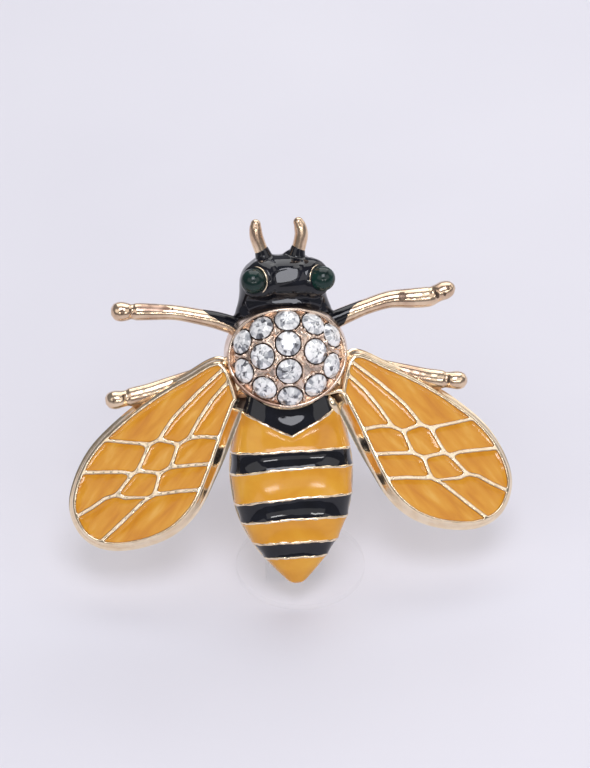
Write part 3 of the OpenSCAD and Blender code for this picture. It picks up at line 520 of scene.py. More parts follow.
def edge_row(edge, shift=0.0):
    """The line of a ridge over the abdomen."""
    along = edge[0] - edge[1] * np.abs(A_U) + edge[2] * A_U**2 - edge[3] * A_U
    return ABDOMEN_Y - ABDOMEN_LEN * along + shift


def level_row(y):
    return np.full(A_STEPS + 1, float(y))


def thorax_edge(x):
    share = np.minimum(np.abs(x) / (THORAX_W / 2), 1)
    return THORAX_LEN / 2 * (1 - share**THORAX_SQUARE) ** (1 / THORAX_SQUARE)


def thorax_foot(x):
    """The thorax's tail side, which is drawn in at both sides."""
    share = np.minimum(np.abs(x) / (THORAX_W / 2), 1)
    return THORAX_BEHIND * THORAX_LEN / 2 * (1 - share**TAIL_SQUARE) ** (1 / TAIL_SQUARE)


def neck_row(shift):
    return -thorax_foot(A_X * ABDOMEN_SHAPE[1][1]) - shift


def stood(row, low):
    """The row with its feet no lower than a height."""
    row = row.copy()
    row[:, 2] = np.maximum(row[:, 2], low)
    return row


def footed(row, low):
    """The row with a foot under each end."""
    return np.vstack([row, [row[-1, 0], row[-1, 1], low], [row[0, 0], row[0, 1], low]])


def ridge_line(i):
    """A ridge's own wobble along the arch."""
    return 0.05 * wavy(A_X, i * 1.3, 0.75)


def build_bands():
    foot_z = ABDOMEN_SKIRT + 0.01
    last = len(BAND_EDGES)
    # Where the tip of the tail starts to round
    tip = 0.86
    for i in range(last + 1):
        if i == 0:
            start = neck_row(FIT)
        else:
            start = edge_row(BAND_EDGES[i - 1], -0.1) + ridge_line(i - 1) - 0.03 * wavy(A_X, i + 5, 0.28)
        if i == last:
            end = level_row(TAIL_Y)
        else:
            end = edge_row(BAND_EDGES[i], 0.1) + ridge_line(i) + 0.03 * wavy(A_X, i + 9, 0.28)
        span = float(np.abs(end - start).mean())
        outer, inner = [], []
        for t in np.linspace(0, 1, 27):
            ys = start * (1 - t) + end * t
            # The glaze clings to the ridges and sinks between them
            if i == last:
                dip = 0.06 * (1 - math.exp(-t * span / 0.3))
            elif i == 0:
                step = eased_step(((1 - t) * span - 0.5) / 1.1)
                dip = 0.02 + 0.16 * np.exp(-((A_X / 1.7) ** 2)) * step
            else:
                dip = 0.13 * (4 * t * (1 - t)) ** 0.85
            row = stood(abdomen_row(ys, 0.03 + dip), foot_z)
            low = stood(abdomen_row(ys, ENAMEL_T), foot_z)
            if i == last and t > tip:
                k = math.sqrt(max(1 - ((t - tip) / (1 - tip)) ** 2, 0.0009))
                for r in (row, low):
                    r[:, 0] *= k
                    r[:, 2] = foot_z + (r[:, 2] - foot_z) * k
            outer.append(row)
            inner.append(low)
        mesh = Mesh()
        mesh.skin(outer, inner)
        glass, slot = (orange_glaze, "orange_enamel") if i % 2 else (black_glaze, "black_enamel")
        mesh.build(f"enamel_band_{i + 1}", [glass], [f"band_{i + 1}"], 55)


def boolean(obj, cutter, operation):
    mod = obj.modifiers.new("b", "BOOLEAN")
    mod.operation = operation
    mod.solver = "EXACT"
    mod.object = cutter
    apply_modifiers(obj)
    bpy.data.objects.remove(cutter)


# The wall at the abdomen's foot: height and how far out
SKIRT_WALL = [(0, -0.05), (0.05, 0), (0.4, 0.02), (0.76, 0.02), (0.86, -0.02), (0.9, -0.09), (0.9, -0.3)]


def build_abdomen():
    core_in = ENAMEL_T * 0.75
    # Half a ridge's section: how far along from its middle and how far under the surface
    half_ridge = [(0.16, core_in), (0.15, 0.1), (0.115, 0.035), (0.06, 0.0)]
    ridge = half_ridge + [(0, -0.02)] + [(-dy, inset) for dy, inset in reversed(half_ridge)]
    rows = [abdomen_row(level_row(ABDOMEN_Y), core_in), abdomen_row(neck_row(0), core_in)]
    for i, edge in enumerate(BAND_EDGES):
        for dy, inset in ridge:
            ys = edge_row(edge) + ridge_line(i) + dy * (1 + 0.3 * wavy(A_X, i + 3.3, 0.3))
            rows.append(abdomen_row(ys, inset, 0.012 * wavy(A_X, i + 7, 0.3) if inset < core_in else 0))
        if i < len(BAND_EDGES) - 1:
            rows.append(abdomen_row((edge_row(edge) + edge_row(BAND_EDGES[i + 1])) / 2, core_in))
    rows += [abdomen_row(level_row(ABDOMEN_Y - s * ABDOMEN_LEN), core_in) for s in (0.9, 0.94, 0.975)]
    core = Mesh()
    core.net([footed(r, ABDOMEN_SKIRT / 2) for r in rows])
    body = core.shape("metal_abdomen")

    shares = np.concatenate([np.linspace(0, 0.9, 40), np.linspace(0.92, 1, 12)])
    half = ABDOMEN_W / 2 * smooth(ABDOMEN_SHAPE, 1, shares)
    ys = ABDOMEN_Y - shares * ABDOMEN_LEN
    rings = []
    for z, out in SKIRT_WALL:
        right = np.stack([np.maximum(half + out, 0.05), ys, np.full_like(ys, z)], 1)
        right[-1, 1] += max(-out, 0)
        rings.append(np.vstack([right, right[::-1] * [-1, 1, 1]]))
    skirt = Mesh()
    skirt.net(rings)
    boolean(body, skirt.shape("skirt"), "UNION")

    hollow = Mesh()
    hollow.net([footed(abdomen_row(level_row(ABDOMEN_Y - s * ABDOMEN_LEN), ENAMEL_T + METAL_WALL), -1)
                for s in np.linspace(0.16, 0.87, 24)])
    boolean(body, hollow.shape("hollow"), "DIFFERENCE")
    body.data.materials.append(gold)
    return finish_piece(body, ["casting"], 38)


# Thorax

# The stones' seats, the low collar round each and the claws between them
SEAT_R, SEAT_DEPTH, COLLAR_R, COLLAR_W, COLLAR_H = 1.345, 0.42, 1.43, 0.09, 0.1
CLAW_R, CLAW_H = 0.24, 0.34
# A claw's distance from its stone's axis, and the least one to the next stone, a claw and the edge
CLAW_OUT, CLAW_TO_STONE, CLAW_TO_CLAW, CLAW_TO_EDGE = 1.47, 1.4, 0.55, 1.2
# The rolled rim's section: how far in and how far down
RIM_ROLL = [(0.03, 0.08), (0.08, 0.03), (0.15, 0.0), (0.22, 0.0), (0.29, 0.04), (0.34, 0.1), (0.4, 0.2)]


def dome_at(x, y):
    return DOME_Z + np.sqrt(np.maximum(DOME_R**2 - x**2 - y**2, 0))


def stone_axes():
    return [np.array([x, y, math.sqrt(1 - x**2 - y**2)]) for x, y in STONE_PLACES]


def claw_axes(axes):
    """Small claws in the gaps where three stones meet, and round the outer ones."""
    found = []
    d = CLAW_OUT / DOME_R
    for a in axes:
        side = np.cross([0, 1, 0], a)
        side /= np.linalg.norm(side)
        up = np.cross(a, side)
        for angle in np.radians(22.5 + 45 * np.arange(8)):
            p = a * math.cos(d) + (side * math.cos(angle) + up * math.sin(angle)) * math.sin(d)
            near = sorted(DOME_R * math.acos(min(max(float(p @ b), -1), 1)) for b in axes)
            apart = all(DOME_R * math.acos(min(float(p @ q), 1)) > CLAW_TO_CLAW for q in found)
            if near[1] > CLAW_TO_STONE and apart:
                if abs(p[1] * DOME_R) < float(thorax_edge(p[0] * DOME_R)) - CLAW_TO_EDGE:
                    found.append(p)
    return found


def build_thorax():
    n = 420
    u, v = even_arch(THORAX_SQUARE, n, THORAX_W / 2, THORAX_LEN / 2, True)
    tail_u, tail_v = even_arch(TAIL_SQUARE, n, THORAX_W / 2, THORAX_LEN / 2, True)
    tail = np.arange(n + 1) > n // 2
    u, v = np.where(tail, tail_u, u)[:-1], np.where(tail, tail_v * THORAX_BEHIND, v * THORAX_AHEAD)[:-1]

    def oval(inset):
        return (THORAX_W / 2 - inset) * u, (THORAX_LEN / 2 - inset) * v

    rim_z = dome_at(*oval(FLANK + RIM_W)) + RIM_LIP
    rings = []
    for t in np.linspace(0, 1, 7):
        x, y = oval(FLANK * (1 - math.sin(t * math.pi / 2)))
        rings.append(np.stack([x, y, np.full(n, THORAX_GIRDLE * t)], 1))
    for t in np.linspace(0, 1, 12)[1:]:
        x, y = oval(FLANK * t**1.6)
        rings.append(np.stack([x, y, THORAX_GIRDLE + (rim_z - 0.16 - THORAX_GIRDLE) * t], 1))
    wobble = 0.02 * wavy(np.arctan2(v, u) * 6, 2, 0.8)
    for inset, drop in RIM_ROLL:
        x, y = oval(FLANK + inset + wobble * (inset / RIM_ROLL[-1][0]))
        rings.append(np.stack([x, y, rim_z - drop], 1))
    axes = stone_axes()
    claws = claw_axes(axes)
    # Painted shade: the flank is darker where it stands over the neck
    painted_shade = [(u < -0.2) & (v < -0.3)] * len(rings)
    px, py = oval(FLANK + RIM_W + 0.02)
    for s in np.concatenate([np.linspace(1, 0.06, 78), [0.03, 0.008]]):
        x, y = px * s, py * s
        base = np.stack([x, y, dome_at(x, y) - DOME_Z], 1)
        way = base / np.linalg.norm(base, axis=1)[:, None]
        lift, bowl = np.zeros(n), np.zeros(n)
        for a in axes:
            rho = DOME_R * np.arccos(np.clip(way @ a, -1, 1))
            lift = np.maximum(lift, COLLAR_H * np.exp(-(((rho - COLLAR_R) / COLLAR_W) ** 2)))
            bowl = np.maximum(bowl, np.clip((SEAT_R - rho) / 0.06, 0, 1))
        for p in claws:
            rho = DOME_R * np.arccos(np.clip(way @ p, -1, 1))
            lift = np.maximum(lift, CLAW_H * np.sqrt(np.clip(1 - (rho / CLAW_R) ** 2, 0, 1)))
        lift = lift + 0.012 * wavy(x * 3 + y * 2, 4, 0.5)
        lift = lift * (1 - bowl) - SEAT_DEPTH * bowl
        base = way * (np.linalg.norm(base, axis=1) + lift)[:, None]
        base[:, 2] += DOME_Z
        rings.append(base)
        # The seats under the stones get painted shade too
        painted_shade.append(bowl > 0.1)
    mesh = Mesh()
    mesh.net(rings)
    for i in range(len(rings) - 1):
        both = painted_shade[i] | painted_shade[i + 1]
        for j in range(n):
            mesh.mats[i * n + j] = int(both[j] | both[(j + 1) % n])
    return mesh.build("metal_thorax", [rosy_gold, painted_shade_gold], ["casting"], 55)


# Rods, legs and the head's metal


def frame_along(path):
    """Two cross directions at each point of a path."""
    along = np.gradient(path, axis=0)
    along /= np.linalg.norm(along, axis=1)[:, None]
    side = np.cross(along[0], [0, 0, 1])
    sides = []
    for t in along:
        side = side - t * (side @ t)
        side /= np.linalg.norm(side)
        sides.append(side)
    sides = np.array(sides)
    return sides, np.cross(along, sides)


def rings_along(line, radius, sides=20):
    """Rings of points round a line, with a radius at each of its points."""
    a, b = frame_along(line)
    turn = np.linspace(0, 2 * np.pi, sides, endpoint=False)[:, None]
    return [p + r * (np.cos(turn) * a[i] + np.sin(turn) * b[i]) for i, (p, r) in enumerate(zip(line, radius))]


def tube(points):
    """Rings round a path of points with a radius each."""
    pts = np.asarray(points, float)
    return rings_along(pts[:, :3], pts[:, 3])


def horn_rows(path, side, count, sides):
    """An antenna or its sleeve, with a round tip."""
    bend = np.array(HORN_BEND[side])
    root = HEAD_Y + HEAD_LEN - ANTENNA_TUCK
    pts = []
    for along, aside, up, thick in path:
        lean = float(np.interp(along, bend[:, 0], bend[:, 1])) - ANTENNA_LEAN * along**2 * ANTENNA_LEN
        x, y = side * aside * ANTENNA_LEN + lean, root + along * ANTENNA_LEN
        pts.append((x, y, up * ANTENNA_LEN, thick * ANTENNA_D / 2))
    line = open_curve(pts, count)
    line, radius = line[:, :3], line[:, 3]
    end = unit(line[-1] - line[-2])
    caps = [0.3, 0.55, 0.78, 0.92, 0.985, 0.999]
    line = np.vstack([line] + [line[-1] + end * radius[-1] * c for c in caps])
    radius = np.concatenate([radius, [radius[-1] * math.sqrt(1 - c * c) for c in caps]])
    return rings_along(line, radius, sides)


def leg_points(leg, reach, s, turns, inset):
    """An arch across a leg at a share of its reach."""
    step = 0.012
    a = np.array([(s - step) * reach, float(smooth(leg, 1, s - step))])
    b = np.array([(s + step) * reach, float(smooth(leg, 1, s + step))])
    along = unit(b - a)
    k = float(smooth(leg, 4, s))
    w = (LEG_W * (1 - k) + KNOB_W * k) / 2 * float(smooth(leg, 2, s)) - inset
    h = (LEG_H * (1 - k) + KNOB_H * k) * float(smooth(leg, 3, s)) - inset
    out = []
    for t in turns:
        p = (a + b) / 2 + np.array([-along[1], along[0]]) * w * math.cos(t)
        out.append((p[0], p[1], h * (0.25 + 0.75 * max(math.sin(t), 0) ** 0.8)))
    return np.array(out)


def leg_shares(leg):
    first, knob, last = leg[0][0], leg[-6][0], leg[-1][0]
    return np.concatenate([np.linspace(first, knob, 72)[:-1], np.linspace(knob, last, 34)])


def leg_rows(leg, reach):
    rows = []
    for s in leg_shares(leg):
        row = leg_points(leg, reach, s, np.linspace(0, math.pi, LEG_TURNS), 0)
        # Cast metal is a little uneven
        row[:, 2] *= 1 + 0.02 * wavy(s * reach, len(leg), 0.6)
        rows.append(footed(row, 0))
    tip = rows[-1].mean(0)
    tip[2] = rows[-1][:, 2].max() * 0.4
    for k in (0.75, 0.45, 0.15):
        rows.append(tip + (rows[-1] - tip) * k)
    return rows


def flip(rows):
    return [r * np.array([-1, 1, 1]) for r in rows]


def add_leg(mesh, leg, rows, marks):
    """A leg with its marks: share of the reach, turn in degrees, spread in both, and metal."""
    start = len(mesh.faces)
    mesh.net(rows)
    n = len(rows[0])
    for share, turn, wide, tall, mat in marks:
        for i, s in enumerate(leg_shares(leg)):
            for j, t in enumerate(np.linspace(0, 180, LEG_TURNS)):
                if ((s - share) / wide) ** 2 + ((t - turn) / tall) ** 2 < 1:
                    mesh.mats[start + i * n + j] = mat


# The end of the right wing's root, which laps over the neck's enamel
LAP = [
    (4.1, -4.05, 3.2, 0.08), (4.2, -4.4, 3.2, 0.34), (4.38, -4.85, 3.08, 0.5), (4.62, -5.4, 2.85, 0.5),
    (4.92, -5.95, 2.55, 0.36), (5.2, -6.6, 2.15, 0.06),
]
# The strap of solder from the thorax's rim to the wing's
STRAP = [
    (3.7, -4.0, 3.25, 0.06), (4.4, -3.75, 3.35, 0.2), (5.0, -3.6, 3.4, 0.25), (5.5, -3.8, 3.5, 0.24),
    (5.72, -4.4, 3.55, 0.17), (5.86, -5.1, 3.5, 0.05),
]


def build_limbs():
    # Metal 1 is painted shade, over the left front leg's upper facet, and 2 is darker spots
    mesh = Mesh()
    add_leg(mesh, LEFT_FRONT_LEG, flip(leg_rows(LEFT_FRONT_LEG, FRONT_REACH)), [
        (0.745, 50, 0.1, 26, 1), (0.634, 53, 0.006, 12, 2), (0.926, 82, 0.012, 18, 2),
    ])
    add_leg(mesh, RIGHT_FRONT_LEG, leg_rows(RIGHT_FRONT_LEG, FRONT_REACH), [
        (0.683, 66, 0.025, 33, 2), (0.888, 86, 0.01, 30, 2), (0.958, 72, 0.01, 18, 2),
        (0.928, 102, 0.009, 14, 2),
    ])
    rear = leg_rows(REAR_LEG, REAR_REACH)
    add_leg(mesh, REAR_LEG, rear, [(0.89, 80, 0.005, 34, 2)])
    add_leg(mesh, REAR_LEG, flip(rear), [(0.95, 80, 0.011, 16, 2), (0.9, 70, 0.006, 20, 2)])
    mesh.build("metal_legs", [leg_gold, painted_shade_gold, shade_and_spot_gold], ["casting"], 50, 0)

    lap = Mesh()
    for path in (LAP, STRAP):
        lap.net(tube(open_curve(path, 30)))
    lap.build("metal_lap", [gold], ["casting"], 60, 0)

    horns = Mesh()
    for side in (-1, 1):
        horns.net(horn_rows(ANTENNA_PATH, side, 40, 28))
    horns.build("metal_antennae", [leg_gold], ["casting"], 50, 0)

    for name, leg, sign, table in (
        ("left", LEFT_FRONT_LEG, -1, LEFT_ENAMEL_ROWS), ("right", RIGHT_FRONT_LEG, 1, RIGHT_ENAMEL_ROWS),
    ):
        rows = np.array(table)
        outer, inner = [], []
        for k, s in enumerate(np.linspace(rows[0, 0], rows[-1, 0], 18)):
            top = float(np.interp(s, rows[:, 0], rows[:, 1])) + 4 * float(wavy(s * 30, sign, 0.5))
            # The end is rounded
            if k > 13:
                top = 12 + (top - 12) * math.sqrt(max(1 - ((k - 13) / 4.2) ** 2, 0.003))
            turns = np.radians(np.linspace(6, top, 14))
            outer.append(leg_points(leg, FRONT_REACH, s, turns, -0.03) * [sign, 1, 1])
            inner.append(leg_points(leg, FRONT_REACH, s, turns, LEG_ENAMEL_T) * [sign, 1, 1])
        skin = Mesh()
        skin.skin(outer, inner)
        skin.build(f"enamel_leg_{name}", [black_glaze], [f"leg_enamel_{name}"], 60)


# Head and eyes

H_STEPS = 72
H_U, H_V = even_arch(HEAD_SQUARE, H_STEPS, HEAD_W / 2, HEAD_H)
H_V = np.maximum(H_V, 0)


def head_row(share, inset):
    """An arch over the head at a share of its length."""
    w = HEAD_W / 2 * float(smooth(HEAD_SHAPE, 1, share)) - inset
    h = HEAD_H * float(smooth(HEAD_SHAPE, 2, share)) - HEAD_SKIRT - inset
    return np.stack([w * H_U, np.full(H_STEPS + 1, HEAD_Y + share * HEAD_LEN), HEAD_SKIRT + h * H_V], 1)


def head_top(x, y):
    s = (y - HEAD_Y) / HEAD_LEN
    share = abs(x) / (HEAD_W / 2 * float(smooth(HEAD_SHAPE, 1, s)))
    rise = max(1 - share**HEAD_SQUARE, 0) ** (1 / HEAD_SQUARE)
    return HEAD_SKIRT + (HEAD_H * float(smooth(HEAD_SHAPE, 2, s)) - HEAD_SKIRT) * rise


def head_rows():
    rows = [footed(head_row(s, 0), HEAD_SKIRT) for s in np.concatenate([[1], np.linspace(0.985, 0.02, 46)])]
    middle = np.array([0, HEAD_Y + HEAD_LEN, HEAD_SKIRT + 0.5])
    return [middle + (rows[0] - middle) * k for k in (0.3, 0.75)] + rows


def at_eye(side):
    x, share = EYES[side]
    z = HEAD_H * 0.985 * (1 - (abs(x) / (HEAD_W / 2)) ** HEAD_SQUARE) ** (1 / HEAD_SQUARE)
    tilt = Matrix.Rotation(math.copysign(EYE_TILT, x), 4, "Y")
    return Matrix.Translation((x, HEAD_Y + share * HEAD_LEN, z)) @ tilt


def lathe(profile, place):
    """Rings of a profile of (radius, height) turned round an axis."""
    turns = np.linspace(0, 2 * np.pi, 64, endpoint=False)
    return [[tuple(place @ Vector((r * math.cos(t), r * math.sin(t), z))) for t in turns] for r, z in profile]


# The slope of the two flat places, which throws the lamps' light at the camera
FLAT_FALL = math.tan(math.radians(19.5))


def flatten(me, flat):
    """Moves each upper point towards the height that flat gives for it, by the share that it gives."""
    back = PLACE.inverted()
    for v in me.vertices:
        p = back @ (v.co / MM)
        if p.z < 3:
            continue
        share, height = flat(p)
        if share > 0:
            p.z += share * (height - p.z)
            v.co = PLACE @ p * MM
    me.update()


def flatten_forehead(me):
    """A flat place on the forehead, where the glaze pooled."""
    mid_x, mid_y, mid_z = 0.24, 8.57, 4.785

    def flat(p):
        across, along = p.x - mid_x, p.y - mid_y - 0.17 * (p.x - mid_x)
        far = (abs(across / (1.12 + 0.16 * along)) ** 4 + abs(along / 0.56) ** 4) ** 0.25
        return eased_step((1.4 - far) / 0.4), mid_z - (p.y - mid_y) * FLAT_FALL

    flatten(me, flat)


def flatten_neck(me):
    """A flat crescent on the roll before the thorax."""
    back = PLACE.inverted()
    spots = [back @ (v.co / MM) for v in me.vertices]
    mid_x, ahead = 0.35, 0.36
    mid_y = float(thorax_edge(mid_x)) * THORAX_AHEAD + ahead
    near = [p.z for p in spots if abs(p.x - mid_x) < 0.2 and abs(p.y - mid_y) < 0.1 and p.z > 3]
    mid_z = sum(near) / len(near)

    def flat(p):
        if abs(p.x - mid_x) > 2.3:
            return 0, 0
        along = p.y - float(thorax_edge(p.x)) * THORAX_AHEAD - ahead
        far = (((p.x - mid_x) / 1.75) ** 2 + (along / 0.26) ** 2) ** 0.5
        height = mid_z - (p.y - mid_y) * FLAT_FALL - 0.03 * (p.x - mid_x) ** 2
        return eased_step((1.5 - far) / 0.6), height

    flatten(me, flat)


# The glaze that runs out over a front leg
RUN_OUT = [(3.7, 4.75, 0.7, 0.8), (4.45, 4.2, 0.62, 0.66), (5.2, 3.85, 0.5, 0.46)]
# The web of enamel between the antennae's feet
WEB = [
    (-1.95, 9.7, 1.95, 0.6), (-1.4, 10.02, 1.95, 0.74), (-0.95, 10.05, 1.9, 0.62), (-0.4, 10.04, 1.9, 0.54),
    (0.1, 10.05, 1.9, 0.57), (0.4, 10.1, 1.92, 0.6), (0.62, 10.26, 1.95, 0.6), (0.85, 10.46, 1.95, 0.56),
    (1.1, 10.66, 1.95, 0.5),
]


def build_head():
    solid = Mesh()
    solid.net(head_rows())
    for side in (-1, 1):
        solid.net(horn_rows(SLEEVE_PATH, side, 30, 32))
    for side, (x, _) in EYES.items():
        r = EYE_D / 2 + FIT + CUP_WALL
        out = 0.3 if x < 0 else 0.12
        solid.net(lathe([
            (0.3, -1.4), (r + 0.75, -1.3), (r + 0.5, -0.35), (r + 0.26, 0.05), (r + 0.08, 0.14), (0.3, 0.14),
        ], at_eye(side)))
        # The enamel climbs over the cup on its outer side
        aside = Matrix.Translation((math.copysign(out, x), -0.1, 0))
        solid.net(lathe([
            (0.3, -1.4), (r + 0.5, -1.2), (r + 0.34, -0.3), (r + 0.14, 0.22), (r - 0.02, 0.34), (0.3, 0.34),
        ], at_eye(side) @ aside))
    # A low roll where the head meets the thorax
    roll = []
    for x in np.linspace(-3.5, 3.5, 25):
        y = float(thorax_edge(x)) + 0.75
        roll.append((x, y, head_top(x, y) - 0.62, 0.9))
    solid.net(tube(roll))
    for side in (-1, 1):
        solid.net(tube([(side * x, y, z, r) for x, y, z, r in RUN_OUT]))
    solid.net(tube(open_curve(WEB, 40)))
    obj = solid.shape("enamel_head")
    mod = obj.modifiers.new("r", "REMESH")
    mod.mode = "VOXEL"
    mod.voxel_size = 0.1 * MM
    mod.adaptivity = 0
    soft = obj.modifiers.new("s", "SMOOTH")
    soft.iterations = 12
    soft.factor = 0.5
    apply_modifiers(obj)
    flatten_forehead(obj.data)
    flatten_neck(obj.data)
    obj.data.materials.clear()
    obj.data.materials.append(black_glaze)
    finish_piece(obj, ["head_enamel"], 60)

    # The metal's edge under the enamel
    rows = []
    for s in np.linspace(0.985, 0, 30):
        row = head_row(s, 0.12)
        row[:, 2] = HEAD_SKIRT + 0.05
        rows.append(footed(row, 0))
    base = Mesh()
    base.net(rows)
    base.build("metal_head_edge", [gold], ["casting"], 45, 0)

    cups = Mesh()
    r, w = EYE_D / 2 + FIT, CUP_WALL
    profile = [(r * 0.3, -0.9), (r + w, -0.9), (r + w, CUP_RISE - 0.05), (r + w * 0.8, CUP_RISE),
               (r + w * 0.35, CUP_RISE + 0.01), (r, CUP_RISE - 0.04), (r - 0.01, -0.4), (r * 0.3, -0.4)]
    for side in EYES:
        cups.net(lathe(profile, at_eye(side)))
    cups.build("metal_eye_cups", [gold], ["casting"], 60, 0)

    glass = emerald()
    r, top = EYE_D / 2, CUP_RISE + EYE_SIDE
    profile = [(0.02, -0.38), (r * 0.9, -0.38), (r, -0.25), (r, 0.2), (r, top)]
    profile += [(r * math.cos(a), top + r * math.sin(a)) for a in np.radians(np.linspace(6, 89, 20))]
    for side in EYES:
        bead = Mesh()
        bead.net(lathe(profile, at_eye(side)))
        bead.build(f"glass_eye_{side}", [glass], [f"eye_{side}"], 60, 0)


# Wings

OUTLINE = [(x * WING_LEN, y * WING_W) for x, y in WING_OUTLINE]
# Places round the outline, counted in its points from one turn on
TURN, RIM_STEPS = len(OUTLINE), 340
ROUND = np.linspace(0, TURN, RIM_STEPS, endpoint=False) + TURN
# The depth of a wing's rounded shoulder
SHOULDER = 0.3
# Its side below that: share of the depth, and how far it stands out
WING_SIDE = [(0, 0), (0.12, 0.03), (0.3, 0.09), (0.55, 0.19), (0.8, 0.27), (0.93, WING_DRAFT), (1, 0.26)]
# Beside the abdomen the side spreads towards its foot, most of all by the root: how far, and the
# places where that starts and fades, each with its length
SPREAD, SPREAD_STARTS, SPREAD_FADES = 0.5, (15.7, 0.7), (17.8, 2.2)
# The crevice between the root and the thorax, with painted shade in it
CREVICE = (16.15, 16.95)
# The lug that joins a wing's tray to the thorax
LUG_LEN, LUG_W, LUG_BACK, LUG_UNDER_CELLS = 3.6, 3.0, 2.2, 0.15
# Step along a cell's edge, and the edge's height
CELL_STEP, EDGE_Z = 0.11, -0.1


def wing_place(sign):
    turn = Matrix.Rotation(-WING_SWEEP, 4, "Z") @ Matrix.Rotation(WING_DROOP, 4, "Y")
    at = Matrix.Translation(WING_ROOT) @ (turn @ Matrix.Rotation(-WING_TILT, 4, "X"))
    return np.array(Matrix.Diagonal((sign, 1, 1, 1)) @ at)


def on_wing(place, xy, z):
    """Points of the wing's own plan, at one height or a height each, in the bee's frame."""
    flat = np.column_stack([xy, np.broadcast_to(z, len(xy))])
    return flat @ place[:3, :3].T + place[:3, 3]


def outline_at(p, inset):
    """Points of a wing's outline, moved in."""
    a, b = closed_curve(OUTLINE, p - 0.01), closed_curve(OUTLINE, p + 0.01)
    along = (b - a) / np.linalg.norm(b - a, axis=1)[:, None]
    return closed_curve(OUTLINE, p) + inset * np.stack([-along[:, 1], along[:, 0]], 1)


def cell_path(cell):
    """The middle line of the veins round a cell."""
    pts = []
    for e in cell:
        if isinstance(e, tuple):
            first, last = (RIM_PLACES[k] for k in e)
            last += TURN * (last < first)
            n = math.ceil((last - first) / 0.12)
            pts += list(outline_at(np.linspace(first, last, n + 1) + TURN, WING_RIM - VEIN_W / 2))
        else:
            pts.append(np.array([CROSSINGS[e][0] * WING_LEN, CROSSINGS[e][1] * WING_W]))
    return np.array(pts)


def moved_in(path, d):
    """The path moved in by a distance, with mitred corners."""
    out = []
    n = len(path)
    for i in range(n):
        a, b = unit(path[i] - path[i - 1]), unit(path[(i + 1) % n] - path[i])
        na, nb = np.array([-a[1], a[0]]), np.array([-b[1], b[0]])
        out.append(path[i] + (na + nb) * d / max(1 + na @ nb, 0.5))
    return np.array(out)


def eased(path, r):
    """The path with each sharp corner rounded."""
    out = []
    n = len(path)
    for i in range(n):
        b = path[i]
        to_a, to_c = path[i - 1] - b, path[(i + 1) % n] - b
        turn = math.pi - math.acos(min(max(unit(to_a) @ unit(to_c), -1), 1))
        if turn < math.radians(14):
            out.append(b)
            continue
        reach = min(r * math.tan(turn / 2), 0.45 * np.linalg.norm(to_a), 0.45 * np.linalg.norm(to_c))
        p, q = b + unit(to_a) * reach, b + unit(to_c) * reach
        for t in np.linspace(0, 1, 9):
            out.append(p * (1 - t) ** 2 + 2 * b * t * (1 - t) + q * t**2)
    return np.array(out)


def evenly(path, step):
    """The closed path in even steps."""
    closed = np.vstack([path, path[:1]])
    run = np.concatenate([[0], np.cumsum(np.linalg.norm(np.diff(closed, axis=0), axis=1))])
    s = np.linspace(0, run[-1], max(int(run[-1] / step), 8), endpoint=False)
    return np.stack([np.interp(s, run, closed[:, k]) for k in (0, 1)], 1)


def outward(path):
    """The direction away from a cell at each point of its edge."""
    way = np.roll(path, 1, 0) - np.roll(path, -1, 0)
    way = np.stack([-way[:, 1], way[:, 0]], 1)
    return way / np.linalg.norm(way, axis=1)[:, None]


def cell_edges():
    """The edge of each cell, a little uneven as in a casting."""
    paths = []
    for i, cell in enumerate(CELLS):
        path = evenly(eased(moved_in(cell_path(cell), VEIN_W / 2 + FIT), CELL_CORNER), CELL_STEP)
        # Smoothing softens the places where straight stretches meet
        for _ in range(3):
            path = path * 0.5 + (np.roll(path, 1, 0) + np.roll(path, -1, 0)) * 0.25
        run = np.linspace(0, len(path) * CELL_STEP, len(path))
        paths.append(path + outward(path) * (0.018 * wavy(run, i, 0.45))[:, None])
    return paths


def distance(q, path):
    """Least distance of each point to a closed path."""
    d = np.roll(path, -1, 0) - path
    t = np.clip(((q[:, None] - path) * d).sum(2) / (d * d).sum(1), 0, 1)
    return np.linalg.norm(q[:, None] - path - t[:, :, None] * d, axis=2).min(1)


def inside(q, path):
    x, y = q[:, 0][:, None], q[:, 1][:, None]
    a, b = path, np.roll(path, -1, 0)
    cross = ((a[:, 1] > y) != (b[:, 1] > y)) & (
        x < (b[:, 0] - a[:, 0]) * (y - a[:, 1]) / (b[:, 1] - a[:, 1] + 1e-12) + a[:, 0]
    )
    return cross.sum(1) % 2 == 1


def measure(q, paths):
    """Each point's least distance to a cell's edge, and the cell that it is in or -1."""
    near = np.full(len(q), 9.0)
    cell = np.full(len(q), -1)
    for i, path in enumerate(paths):
        box = ((q > path.min(0) - 1) & (q < path.max(0) + 1)).all(1)
        if box.any():
            near[box] = np.minimum(near[box], distance(q[box], path))
            cell[np.flatnonzero(box)[inside(q[box], path)]] = i
    return near, cell


